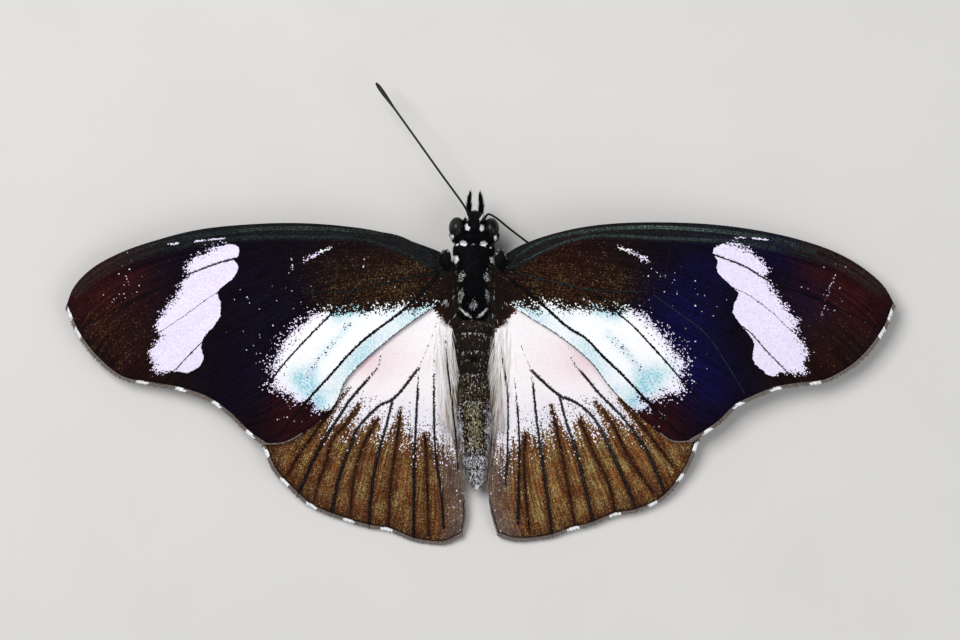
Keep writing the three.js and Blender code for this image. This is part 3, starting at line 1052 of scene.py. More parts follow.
# White and speckled tufts on head and thorax: x, y, half width, half length, turn in degrees
WHITE_TUFTS = [
    (-1.27, 8.67, 0.22, 0.34, 25), (0.19, 8.62, 0.22, 0.34, -15), (-1.65, 7.1, 0.4, 0.27, -20),
    (0.33, 7.06, 0.36, 0.27, 0), (-2.25, 6.95, 0.16, 0.09, 30), (1.04, 6.65, 0.1, 0.08, 0),
    (-2.43, 5.5, 0.31, 0.38, 0), (1.28, 5.42, 0.28, 0.35, 20), (-1.34, 9.82, 0.09, 0.4, 15),
    (0.19, 9.75, 0.1, 0.4, -25), (-1.42, 0.15, 0.13, 0.72, 52), (0.2, 0.12, 0.13, 0.66, -46),
    (-2.76, 7.84, 0.17, 0.3, 0), (1.51, 7.7, 0.17, 0.3, 0)]
SPECKLED_TUFTS = [
    (-1.8, 3.79, 0.27, 0.52, -16), (0.61, 3.74, 0.25, 0.47, 14), (-1.93, 1.85, 0.25, 0.66, -14),
    (0.77, 1.83, 0.24, 0.62, 14), (-0.62, 7.0, 0.3, 0.06, 0)]


ABDOMEN_PALE_LINES = (-1.85, -3.65, -5.95, -8.65, -12.35, -13.75)

# The spot value of a scale under no tuft, the most that a speckled tuft reaches, and where hairs grow short
NO_SPOT = -1.0
SPECKLED_MOST = -0.07
SHORT_FROM = -0.14
CLUMP_SEED = 4
MIDDLE_GROOVE_X = -0.65


@dataclass
class BodyShell:
    """A part of the body made of rounded cross-sections along y."""

    name: str
    sections: list[tuple[float, ...]]
    steps: int
    sides: int = 88
    ring_edges: tuple[float, ...] = ()
    slot: str = "body_scales"
    nodes: tuple[str, ...] = ()

    def ring_share(self, ahead: Array) -> Array:
        """Tells how far along its ring each place lies, from 0 at the ring's rear edge to 1.

        Args:
            ahead: places along the body.

        Returns:
            The share for each.
        """
        edges = np.array(self.ring_edges)
        ring = np.clip(np.searchsorted(edges, ahead, "right") - 1, 0, len(edges) - 2)
        return (ahead - edges[ring]) / (edges[ring + 1] - edges[ring])

    def swell(self, ahead: Array) -> Array:
        """Gives the shell's girth along its length: each ring overhangs the one behind.

        Args:
            ahead: places along the body.

        Returns:
            A factor on the radii for each.
        """
        if not self.ring_edges:
            return np.ones(len(ahead))
        share = self.ring_share(ahead)
        return 0.95 + 0.08 * limited(share / 0.07) - 0.025 * share - 0.05 * limited((share - 0.75) / 0.25)

    def relief(self, places: Array) -> Array:
        """Gives how far the surface stands off the plain form, in millimetres.

        Args:
            places: x, y and z of each vertex.

        Returns:
            The offsets, along z.
        """
        x, y = places[:, 0] - MIDDLE_GROOVE_X, places[:, 1]
        top = limited((places[:, 2] - 4.6) / 0.8)
        if self.name == "thorax":
            groove = -0.09 * bell(x, 0.12) * limited((y - 1.9) / 0.5)
            seam = -0.16 * bell(y - 1.75 + 0.55 * np.abs(x), 0.14)
            lobes = -0.08 * bell(np.abs(x) - 1.2 - 0.05 * y, 0.15) * limited((y - 1) / 0.6)
            return (groove + seam + lobes) * top
        if self.name == "head":
            return (-0.12 * bell(y - 8.05, 0.14) - 0.08 * bell(x, 0.12)) * top
        return np.zeros(len(places))

    def tuft_spots(self, places: Array) -> Array:
        """Works out which scales of head and thorax are white.

        Args:
            places: x, y and z of each vertex.

        Returns:
            How deep each vertex lies inside a tuft, negative outside them all.
        """
        x, y, z = places.T
        spot = np.full(len(places), NO_SPOT)
        for tuft in WHITE_TUFTS + SPECKLED_TUFTS:
            at_x, at_y, wide, long, turn = tuft
            c, s = math.cos(math.radians(turn)), math.sin(math.radians(turn))
            across, along = ((x - at_x) * c + (y - at_y) * s) / wide, ((y - at_y) * c - (x - at_x) * s) / long
            ragged = 1 + 0.13 * np.cos(5 * np.arctan2(across, along) + 5 * at_x)
            inside = (1 - np.hypot(across, along) * ragged) * 1.5 * wide - 0.04
            spot = np.maximum(spot, np.minimum(inside, SPECKLED_MOST if tuft in SPECKLED_TUFTS else 1.0))
        return np.where(z > 4.0, spot, NO_SPOT)

    def tones(self, places: Array) -> Masks:
        """Works out which scales are white, brown, golden or frosted.

        Args:
            places: x, y and z of each vertex.

        Returns:
            The named values.
        """
        x, y = places[:, 0], places[:, 1]
        middle = SPAN_CENTRING + np.interp(y, [s[0] for s in self.sections], [s[1] for s in self.sections])
        aside = np.abs(x - middle)
        if self.slot == "abdomen_scales":
            gold = limited(1.1 - ((y + 11.4) / 3.4) ** 2) * limited(1.25 - aside) * 0.6
            gold = np.maximum(gold, 0.075 + 0.12 * limited((-y - 5) / 3))
            frost = np.clip((-y - 13.0) / 1.2, 0.08, 1) * 0.62
            frost = np.maximum(frost, limited((-y - 8.0) / 3.5) * limited((aside - 0.95) / 0.4) * 0.85)
            bow = 0.12 * (aside / 1.2) ** 2
            for line in ABDOMEN_PALE_LINES:
                frost = np.maximum(frost, 0.45 * bell(y - line + bow, 0.09) * limited(1.6 - aside))
            dark_spot = np.exp(-((x + 0.64) / 0.55) ** 2 - ((y + 4.4) / 0.4) ** 2)
            brown = 0.95 * (1 - dark_spot)
            clump = np.random.default_rng(CLUMP_SEED).random(len(places)) ** 1.5
            clump = clump * (0.25 + limited(2.4 * self.ring_share(y)))
            gold, frost = (mask * (1 - dark_spot) * (0.35 + 1.25 * clump) for mask in (gold, frost))
            spot = np.where((y < -16.9) & (np.abs(x + 0.3) < 0.16), 0.1, NO_SPOT)
        else:
            spot = self.tuft_spots(places)
            gold = 0.1 * bell(aside - 1.7, 0.5) * (y < 5)
            shield = np.abs(x + 0.6) / 0.5 + np.abs(y - 1.0) / 0.75
            frost = 0.6 * limited(1.25 - shield) * (self.name == "thorax")
            brown = limited((aside - 1.0) / 0.7) * (y < 4.5) * 0.9
        return {"spot": spot, "gold": gold, "frost": frost, "brown": brown}

    def build(self, material: Material) -> Object:
        """Builds the shell with its tones and the comb direction of its hairs.

        Args:
            material: what it is made of.

        Returns:
            The shell.
        """
        rings = smooth_through(self.sections, self.steps)
        rings[:, 0] = np.maximum.accumulate(rings[:, 0])
        rings[:, 3:] *= self.swell(rings[:, 0])[:, None]
        angle = round_turn(self.sides)
        places = []
        for ahead, out, up, half_width, above, below in rings:
            rise = np.where(np.sin(angle) > 0, above, below)
            places.append(np.column_stack([out + SPAN_CENTRING + np.cos(angle) * half_width,
                                           np.full(self.sides, ahead), up + np.sin(angle) * rise]))
        centres = [body_place(out, ahead, up) for ahead, out, up, *_ in rings]
        places = np.vstack([*places, centres[0], centres[-1]])
        places[:, 2] += self.relief(places)
        away = np.vstack([places[:-2] - np.repeat(centres, self.sides, axis=0), [(0, -1, 0), (0, 1, 0)]])
        comb = np.array([0.0, -1.0, 0.0]) + 0.25 * away / np.maximum(np.linalg.norm(away, axis=1), TINY)[:, None]
        masks = self.tones(places) | {"comb": comb, "cover": np.ones(len(places))}
        masks["growth"] = np.where(masks["spot"] > SHORT_FROM, 0.55, 1.0)
        faces = faces_outward(places, ring_faces(len(rings), self.sides))
        return seat(make_mesh(f"{self.name}_shell", places, faces, material, masks), self.slot, *self.nodes)


def cover_with_strands(name: str, slot: str, shell: Object, trees: Trees, material: Material,
                       style: StrandStyle) -> Object:
    """Covers a shell with flat scales, or with round hairs where it has no white tuft.

    Args:
        name: the new piece's name.
        slot: handed on to seat, which doesn't use it.
        shell: the shell.
        trees: the geometry trees.
        material: the strands' material.
        style: the kind of strand.

    Returns:
        The strands as one mesh.
    """
    spot, cover = (np.zeros(len(shell.data.vertices), np.float32) for _ in range(2))
    shell.data.attributes["spot"].data.foreach_get("value", spot)
    cover[:] = 1 if style.flatness < 1 else spot < -0.2
    shell.data.attributes["cover"].data.foreach_set("value", cover)
    return seat(style.grow_on(shell, name, trees.coat, material), slot)


EYE_CENTRES = {Side.LEFT: (1.84, 8.62), Side.RIGHT: (1.56, 8.54)}


@dataclass
class Eye:
    """A bulging compound eye with its rim."""

    side: Side
    radii: tuple[float, float, float] = (0.82, 1.08, 1.0)
    height: float = 4.45
    rings: int = 36
    sides: int = 48

    def build(self, material: Material) -> Object:
        """Builds the eye as a full oval shell, a little flattened above.

        Args:
            material: what it is made of.

        Returns:
            The eye.
        """
        out, ahead = EYE_CENTRES[self.side]
        centre = np.array(body_place(self.side.value * out, ahead, self.height))
        tilt = np.linspace(0, math.pi, self.rings + 2)[1:-1]
        turn = round_turn(self.sides)
        shape = [np.column_stack([np.sin(t) * np.cos(turn), np.sin(t) * np.sin(turn),
                                  np.full(self.sides, -math.cos(t))]) for t in tilt]
        shape = np.vstack([*shape, [(0, 0, -1)], [(0, 0, 1)]])
        shape[:, 2] = np.sign(shape[:, 2]) * np.abs(shape[:, 2]) ** 1.08
        places = centre + shape * self.radii
        faces = faces_outward(places, ring_faces(self.rings, self.sides))
        name = f"eye_{self.side.label}"
        # crown: how high a place sits on the eye, which the painted sheen follows
        masks = {"crown": limited(shape[:, 2])}
        return seat(make_mesh(f"{name}_globe", places, faces, material, masks), "eye", name)


PLAIN_COAT = {"spot": NO_SPOT, "gold": 0.0, "frost": 0.0, "brown": 0.0, "cover": 1.0, "growth": 1.0}


ANTENNA_ROUTES: dict[Side, Route] = {
    Side.LEFT: [(0.7, 10.0, 5.1), (1.1, 10.75, 5.7), (3.4, 13.95, 5.6), (6.6, 18.45, 4.9), (9.95, 23.15, 3.7)],
    Side.RIGHT: [(0.8, 9.3, 5.3), (1.25, 9.95, 5.75), (2.05, 9.6, 5.5), (3.08, 8.78, 5.1), (5.25, 7.15, 4.3),
                 (9.3, 4.4, 3.75), (13.3, 1.6, 3.45)]}
PALP_ROUTES: dict[Side, Route] = {
    Side.LEFT: [(0.55, 9.5, 3.0), (0.66, 10.5, 3.5), (0.62, 11.4, 4.3), (0.51, 12.2, 4.9)],
    Side.RIGHT: [(0.4, 9.5, 3.0), (0.56, 10.5, 3.5), (0.52, 11.4, 4.3), (0.43, 12.15, 4.9)]}
PALP_GIRTHS = ([0, 0.35, 0.5, 0.62, 0.68, 0.85, 1], [0.2, 0.24, 0.23, 0.19, 0.19, 0.16, 0.08])
PALP_HAIR = StrandStyle(0.34, 0.022, 0.6, 31, 0.8, 0.2, 0.4, per_square_mm=60)
LEG_BRISTLES = StrandStyle(0.22, 0.012, 0.9, 71, 1.0, 0.1, 0.5, per_square_mm=14)

# Each leg's corners, and its radius at each; a foot's middle lies FOOT above the surface
FOOT = 0.11
WALKING_LEG_RADII = [0.38, 0.3, 0.2, 0.16, 0.12, 0.11, 0.09]
LEGS: dict[str, tuple[Route, list[float]]] = {
    "foreleg": ([(0.55, 5.9, 2.6), (0.95, 6.3, 2.0), (1.25, 7.9, 2.05), (1.2, 8.2, 1.75), (1.0, 6.6, 1.25),
                 (0.95, 5.2, 0.95)], [0.3, 0.26, 0.17, 0.15, 0.14, 0.05]),
    "midleg": ([(0.6, 3.2, 2.3), (1.3, 3.3, 1.7), (4.3, 4.2, 2.75), (4.75, 4.4, 2.6), (6.4, 5.5, 0.35),
                (6.75, 5.7, FOOT), (8.45, 6.57, FOOT)], WALKING_LEG_RADII),
    "hindleg": ([(0.6, 1.0, 2.3), (1.3, 0.7, 1.6), (4.1, -1.9, 2.6), (4.5, -2.3, 2.45), (6.0, -5.6, 0.35),
                 (6.2, -6.0, FOOT), (7.36, -8.22, FOOT)], WALKING_LEG_RADII)}


def body_route(side: Side, route: Route) -> Route:
    """Puts a route of one side into the object's frame."""
    return [body_place(side.value * x, y, z) for x, y, z in route]


def plain_coat(count: int) -> dict[str, list[Array]]:
    """Gives the values of a plain dark coat for one path of that many places."""
    return {key: [np.full(count, value)] for key, value in PLAIN_COAT.items()}


def keep_above_ground(piece: Object) -> None:
    """Flattens whatever would reach below the surface that the insect stands on."""
    for vertex in piece.data.vertices:
        vertex.co.z = max(0.0, vertex.co.z)


@dataclass
class Limbs:
    """The thin parts: antennae, palps, proboscis and legs, all as tubes."""

    trees: Trees
    horn: Material
    leg: Material
    coat: Material
    antenna_rings: int = 46
    palp_places: int = 40
    coil_turns: float = 1.75
    coil_rings: int = 80
    coil_places: int = 240
    leg_places: int = 120
    foot_joints: int = 5

    def antenna(self, side: Side) -> Object:
        """Builds one ringed antenna with its club.

        Args:
            side: which side it is on.

        Returns:
            The antenna.
        """
        path = smooth_through(body_route(side, ANTENNA_ROUTES[side]), self.antenna_rings * 8 + 1)
        share = np.linspace(0, 1, len(path))
        club = limited((share - 0.78) / 0.15)
        blunt = np.sqrt(np.clip(1 - (np.maximum(0, share - 0.95) / 0.05) ** 2, 0.02, 1))
        step = (share * self.antenna_rings) % 1
        girth = (0.115 + 0.11 * club ** 2 * (3 - 2 * club)) * blunt * (0.93 + 0.12 * step ** 2)
        name = f"antenna_{side.label}"
        piece = self.trees.tubes(f"{name}_rings", [path], [girth], self.horn, 10)
        return seat(piece, "horn", name)

    def palp(self, side: Side) -> Object:
        """Builds one furry palp.

        Args:
            side: which side it is on.

        Returns:
            The palp without its hair.
        """
        path = smooth_through(body_route(side, PALP_ROUTES[side]), self.palp_places)
        girth = np.interp(np.linspace(0, 1, self.palp_places), *PALP_GIRTHS)
        name = f"palp_{side.label}"
        piece = self.trees.tubes(f"{name}_core", [path], [girth], self.coat, 12, plain_coat(self.palp_places))
        comb = piece.data.attributes.new("comb", "FLOAT_VECTOR", "POINT")
        comb.data.foreach_set("vector", np.tile((0.0, 1.0, 0.5), len(piece.data.vertices)))
        seat(PALP_HAIR.grow_on(piece, f"{name}_hair", self.trees.coat, self.coat), "body_scales")
        return seat(piece, "body_scales", name)

    def proboscis(self) -> Object:
        """Builds the coiled, finely ringed proboscis.

        Returns:
            The proboscis.
        """
        share = np.linspace(0, 1, self.coil_places)
        angle = math.pi / 2 - share * self.coil_turns * 2 * math.pi
        reach = 0.72 + (0.2 - 0.72) * share
        step = (share * self.coil_rings) % 1
        path = np.column_stack([np.full(self.coil_places, -0.07 + SPAN_CENTRING), 9.75 + np.cos(angle) * reach,
                                2.05 + np.sin(angle) * reach])
        girth = (0.105 - 0.04 * share) * (0.94 + 0.08 * step)
        return seat(self.trees.tubes("proboscis_coil", [path], [girth], self.horn, 10), "horn", "proboscis")

    def legs(self, side: Side) -> None:
        """Builds the three jointed legs of one side.

        Args:
            side: which side it is on.
        """
        for kind, (route, radii) in LEGS.items():
            corners = np.array(body_route(side, route))
            run = run_along(corners)
            want = np.linspace(0, run[-1], self.leg_places)
            path = np.column_stack([np.interp(want, run, corners[:, k]) for k in range(3)])
            girth = np.interp(want, run, radii)
            for place in run[1:-1]:
                girth *= 1 - 0.25 * bell(want - place, 0.12)
            if kind != "foreleg":
                beat = ((want - run[-2]) / (run[-1] - run[-2]) * self.foot_joints) % 1
                girth = np.where(want > run[-2], girth * (0.82 + 0.25 * beat), girth)
            name = f"{kind}_{side.label}"
            piece = self.trees.tubes(f"{name}_joints", [path], [girth], self.leg, 12, plain_coat(self.leg_places))
            keep_above_ground(piece)
            bristles = LEG_BRISTLES.grow_on(piece, f"{name}_bristles", self.trees.coat, self.leg)
            keep_above_ground(bristles)
            seat(bristles, "leg")
            seat(piece, "leg", name)


TEGULA_CENTRES: dict[Side, tuple[float, float, float]] = {Side.LEFT: (2.95, 5.5, 5.98), Side.RIGHT: (2.45, 5.5, 5.98)}

# The shield's rows from below to its crown: how far out and how high, as shares of its radii
TEGULA_ROWS = ((0.35, -0.9), (0.75, -0.75), (0.98, -0.4), (1.0, 0.0), (0.95, 0.25), (0.85, 0.5), (0.65, 0.78),
               (0.4, 0.93), (0.15, 1.0))


@dataclass
class Tegula:
    """The small shield over a forewing's root."""

    side: Side
    radii: tuple[float, float, float] = (0.62, 1.0, 0.3)
    sides: int = 40

    def build(self, material: Material) -> Object:
        """Builds the shield as a flat domed shell with a thin rim.

        Args:
            material: what it is made of.

        Returns:
            The shield.
        """
        out, ahead, up = TEGULA_CENTRES[self.side]
        centre = np.array(body_place(self.side.value * out, ahead, up))
        turn = round_turn(self.sides)
        wide = 1 + 0.12 * np.sin(turn)
        rows = [np.column_stack([np.cos(turn) * reach * wide * 0.89, np.sin(turn) * reach, np.full(self.sides, lift)])
                for reach, lift in TEGULA_ROWS]
        shape = np.vstack([*rows, [(0, 0, -0.95)], [(0, 0, 1.0)]])
        count = len(shape)
        rim = np.hypot(shape[:, 0], shape[:, 1])
        masks = {"frost": limited(rim - 0.72) * 1.1 * (shape[:, 1] > 0.1), "brown": np.full(count, 0.1),
                 "comb": np.tile((self.side.value * 0.4, -1.0, 0.0), (count, 1)), "growth": np.ones(count),
                 "cover": limited(shape[:, 2] + 0.4), "spot": np.full(count, NO_SPOT), "gold": np.full(count, 0.03)}
        places = centre + shape * self.radii
        faces = faces_outward(places, ring_faces(len(rows), self.sides))
        name = f"tegula_{self.side.label}"
        return seat(make_mesh(f"{name}_shield", places, faces, material, masks), "body_scales", name)


# Each wing's three edges, out from the body's middle line and ahead; its root joins front and inner edge
WING_OUTLINES: dict[tuple[Side, Kind], dict[str, Points]] = {
    (Side.LEFT, Kind.FOREWING): {
        "front": [(2.3, 5.2), (3.05, 5.95), (5.55, 7.0), (9.55, 8.25), (13.55, 8.85), (18.0, 9.12), (22.55, 9.0),
            (27.55, 8.5), (31.55, 7.55), (35.55, 6.2), (38.55, 4.55), (40.35, 2.65), (41.15, 0.55)],
        "outer": [(41.15, 0.55), (40.05, -2.05), (38.05, -4.65), (35.55, -6.55), (32.55, -7.15), (29.75, -7.65),
            (27.05, -8.55), (24.85, -10.05), (22.75, -12.1), (21.35, -13.05)],
        "inner": [(2.3, 1.9), (4.55, 0.45), (8.05, -2.05), (11.75, -5.25), (12.95, -6.65), (14.05, -9.05),
            (16.35, -11.25), (19.05, -12.85), (21.35, -13.05)],
    },
    (Side.LEFT, Kind.HINDWING): {
        "front": [(2.3, 2.3), (6.0, 2.0), (10.5, -0.2), (15.0, -3.8), (18.8, -8.0), (20.9, -11.2), (21.4, -13.25)],
        "outer": [(21.4, -13.25), (20.35, -15.75), (18.45, -17.85), (16.55, -19.45), (13.55, -20.7), (11.05, -21.45),
            (8.75, -21.85), (6.05, -22.9), (3.05, -23.15), (1.35, -22.35)],
        "inner": [(2.3, -0.8), (2.35, -3.5), (2.25, -6.5), (2.3, -10.0), (1.75, -13.5), (1.3, -17.0), (0.95, -20.05),
            (1.35, -22.35)],
    },
    (Side.RIGHT, Kind.FOREWING): {
        "front": [(1.95, 5.2), (2.65, 5.75), (4.45, 6.85), (6.95, 7.8), (10.45, 8.65), (14.45, 9.1), (20.45, 9.15),
            (24.45, 8.9), (28.45, 8.35), (32.45, 7.45), (35.95, 6.25), (38.65, 4.75), (40.9, 2.8), (42.05, 0.75)],
        "outer": [(42.05, 0.75), (41.05, -1.75), (38.45, -4.95), (34.95, -6.9), (32.45, -7.2), (29.95, -7.65),
            (27.95, -8.45), (26.15, -9.35), (24.95, -10.55), (23.45, -11.75), (21.75, -12.75)],
        "inner": [(1.95, 1.9), (5.45, -0.35), (8.45, -2.25), (11.45, -4.75), (13.45, -7.35), (15.45, -9.35),
            (17.45, -11.05), (19.65, -12.7), (21.75, -12.75)],
    },
    (Side.RIGHT, Kind.HINDWING): {
        "front": [(1.95, 2.3), (6.0, 2.0), (10.9, -0.1), (15.6, -3.6), (19.6, -7.8), (21.9, -10.8), (22.45, -12.65)],
        "outer": [(22.45, -12.65), (21.45, -15.35), (19.15, -18.45), (16.45, -19.85), (13.95, -20.35),
            (11.75, -21.25), (9.45, -21.85), (7.45, -22.55), (3.95, -22.85), (2.25, -22.35)],
        "inner": [(1.95, -0.8), (1.9, -3.5), (1.9, -6.5), (2.0, -10.0), (1.6, -13.5), (1.3, -17.0), (1.45, -19.55),
            (2.25, -22.35)],
    },
}


@dataclass(frozen=True)
class Vein:
    """One vein: its route, how thick it looks, how much painted bluish glint it takes, and how much of its start lies
    under white scales.
    """

    route: Points
    girth: float = 1.0
    tint: float = 0.0
    pale: float = 0.0


# A vein's tint is the share of painted bluish glint that it takes; the right wings' veins take more, where the light
# caught them
VEINS: dict[tuple[Side, Kind], list[Vein]] = {
    (Side.LEFT, Kind.FOREWING): [
        Vein([(3.4, 5.3), (7.55, 7.75), (12.55, 8.35), (17.55, 8.6), (22.55, 8.45), (27.55, 7.85),
            (32.5, 6.85)], 1.0, 0.12),
        Vein([(3.6, 4.28), (5.75, 5.5), (8.05, 6.58), (11.88, 7.57), (17.55, 7.75), (22.5, 7.65), (27.5, 7.15),
            (32.5, 6.0), (36.5, 4.6), (39.8, 2.2)], 1.1, 0.15),
        Vein([(19.0, 7.2), (23.55, 5.75), (26.25, 4.95), (28.55, 4.05), (34, 1.6), (40.1, -1.6)], 1.3),
        Vein([(18.5, 4.6), (21.5, 3.4), (25.57, 2.27), (28.95, -0.02), (31.58, -1.78), (37.2, -5.4)], 0.5, 1.0),
        Vein([(18.2, 3.0), (23.0, 0.6), (27.18, -2.65), (30.26, -5.74), (31.6, -7.1)], 0.8),
        Vein([(17.4, 1.97), (21.0, -1.0), (24.0, -4.6), (26.6, -8.2)], 0.7),
        Vein([(11.88, 2.36), (13.45, 0.9), (14.51, -0.11), (16.43, -2.03), (19.2, -5.02), (23.6, -11.0)], 1.25),
        Vein([(3.75, 3.85), (5.29, 2.28), (7.0, 0.6), (10.88, -2.35), (12.59, -3.95), (14.51, -6.09), (16.65, -8.43),
            (20.3, -12.8)], 1.7),
        Vein([(3.6, 4.2), (5.75, 3.82), (8.97, 3.12), (11.88, 2.36), (16.18, 2.28), (17.4, 1.97)], 1.2, 0.06),
        Vein([(17.4, 1.97), (18.2, 3.0), (18.5, 4.6), (19.0, 7.2)], 0.7),
    ],
    (Side.LEFT, Kind.HINDWING): [
        Vein([(9.28, -3.1), (9.75, -5.25), (10.55, -6.25), (12.55, -8.55), (13.65, -10.25), (14.93, -12.18),
            (16.2, -14.5), (17.3, -16.9), (18.0, -18.4)], 1.5, 0.1, 3.5),
        Vein([(5.65, -5.35), (8.25, -8.45), (9.55, -9.05), (10.75, -10.2), (11.73, -11.3), (12.6, -13.45),
            (13.45, -15.6), (14.2, -18.6), (14.5, -20.3)], 1.5, 0.15),
        Vein([(8.25, -8.45), (8.75, -10.5), (9.6, -13.45), (10.25, -16.45), (10.65, -20.1), (10.7, -21.6)], 1.4, 0.1),
        Vein([(5.65, -5.35), (5.75, -7.55), (5.9, -10.05), (6.08, -13.85), (6.18, -19.2),
            (6.2, -22.6)], 1.3, 0.0, 2.0),
        Vein([(4.1, -3.05), (4.15, -8.55), (4.0, -13.9), (3.4, -18.2), (3.2, -21.5)], 1.2, 0.0, 4.0),
        Vein([(3.85, -0.75), (4.5, -2.6), (5.65, -5.35)], 0.8, 0.0, 8.0),
        Vein([(2.6, 1.6), (6.5, -0.2), (9.28, -3.1)], 0.6, 0.0, 60.0),
        Vein([(2.9, -1.2), (2.95, -2.55), (2.65, -6.5), (2.25, -9.5), (1.95, -12.5), (1.75, -15.5)], 1.0, 0.0, 3.0),
    ],
    (Side.RIGHT, Kind.FOREWING): [
        Vein([(3.2, 5.2), (6.2, 7.1), (8.45, 7.85), (12.45, 8.45), (17.45, 8.7), (22.45, 8.45), (26.45, 8.05),
            (30.45, 7.35), (34, 6.2)], 1.0, 0.35),
        Vein([(3.65, 4.75), (5.45, 5.65), (8.45, 7.05), (11.15, 7.75), (14.45, 7.85), (17.45, 7.65), (22.45, 7.45),
            (26.45, 7.15), (31.5, 6.2), (36.5, 4.7), (40.2, 2.2)], 1.1, 0.35),
        Vein([(19.5, 7.3), (23.75, 5.95), (24.65, 5.65), (26.95, 4.75), (28.95, 3.55), (35, 1.2), (41.0, -1.6)], 1.3),
        Vein([(19.0, 4.6), (22.0, 3.8), (26.45, 2.35), (27.95, 1.45), (29.45, 0.35), (31.65, -1.65),
            (37.8, -5.2)], 0.5, 1.0),
        Vein([(18.85, 2.75), (23.0, 0.9), (27.25, -1.65), (28.45, -2.95), (29.45, -4.05), (30.95, -5.55),
            (32.2, -7.1)], 0.8),
        Vein([(17.32, 2.28), (19.62, 0.59), (22.38, -1.4), (23.65, -2.75), (24.95, -4.75), (26.3, -6.9),
            (26.9, -7.9)], 0.7, 0.35),
        Vein([(11.49, 2.43), (13.8, 0.45), (15.94, -1.4), (16.67, -2.18), (19.02, -4.74), (20.5, -6.45), (23.2, -9.4),
            (24.6, -10.8)], 1.25),
        Vein([(3.67, 3.35), (5.51, 1.97), (6.64, 1.02), (8.99, -1.11), (11.12, -2.5), (12.4, -3.89), (14.53, -5.91),
            (16.88, -8.37), (20.9, -12.5)], 1.7),
        Vein([(3.55, 4.45), (5.51, 3.81), (9.04, 2.97), (11.49, 2.43), (17.32, 2.28)], 1.2, 0.15),
        Vein([(17.32, 2.28), (18.85, 2.75), (19.0, 4.6), (19.5, 7.3)], 0.7),
    ],
    (Side.RIGHT, Kind.HINDWING): [
        Vein([(9.2, -3.14), (9.84, -4.95), (10.69, -5.91), (12.4, -7.94), (14.11, -9.65), (15.39, -11.14),
            (17.31, -13.92), (18.52, -16.65), (19.0, -18.0)], 1.4, 0.35, 3.0),
        Vein([(5.57, -5.59), (8.35, -8.05), (10.05, -8.79), (11.55, -10.07), (12.61, -11.57), (13.89, -14.34),
            (15.96, -19.01), (16.2, -19.8)], 1.5, 0.5),
        Vein([(8.35, -8.05), (8.99, -10.5), (10.27, -14.34), (11.69, -20.29), (11.9, -21.0)], 1.4, 0.35),
        Vein([(5.57, -5.59), (5.79, -7.51), (6.11, -10.5), (6.64, -14.34), (7.64, -21.57),
            (7.7, -22.4)], 1.3, 0.25, 1.5),
        Vein([(3.86, -6.02), (4.18, -9.22), (4.4, -13.49), (4.33, -16.65), (4.3, -21.0)], 1.1, 0.0, 3.0),
        Vein([(3.44, -0.9), (4.4, -2.8), (5.57, -5.59)], 0.7, 0.0, 9.0),
        Vein([(2.3, 1.6), (6.3, -0.2), (9.2, -3.14)], 0.6, 0.0, 60.0),
        Vein([(2.37, -1.75), (2.8, -4.95), (3.22, -8.15), (3.2, -13.5), (3.0, -17.0)], 1.0, 0.0, 2.5),
    ],
}

# The folds between the hindwing's veins
HINDWING_FOLDS: dict[Side, list[Points]] = {
    Side.LEFT: [
        [(12.6, -7.35), (14.1, -9.05), (15.8, -11.5), (17.3, -13.5), (18.8, -16.0)],
        [(11.6, -9.1), (13.0, -11.0), (14.35, -12.6), (14.9, -14.6), (15.6, -16.4), (16.2, -18.6)],
        [(9.8, -10.5), (10.25, -11.3), (11.3, -13.25), (12.2, -16.4), (12.6, -20.3)],
        [(7.45, -9.4), (7.5, -10.0), (7.9, -12.8), (8.5, -17.1), (8.75, -21.4)],
        [(5.05, -12.0), (4.9, -15.0), (4.75, -20.0), (4.7, -22.3)],
    ],
    Side.RIGHT: [
        [(14.4, -8.4), (15.2, -9.3), (17.65, -12.4), (19.8, -15.15)],
        [(11.97, -8.79), (13.68, -10.93), (15.39, -14.34), (17.88, -17.94)],
        [(10.48, -10.71), (11.97, -14.13), (13.4, -17.09), (14.04, -19.85)],
        [(7.49, -9.01), (8.55, -13.49), (9.99, -21.14)],
        [(5.0, -12.0), (4.86, -14.95), (5.4, -21.8)],
    ],
}

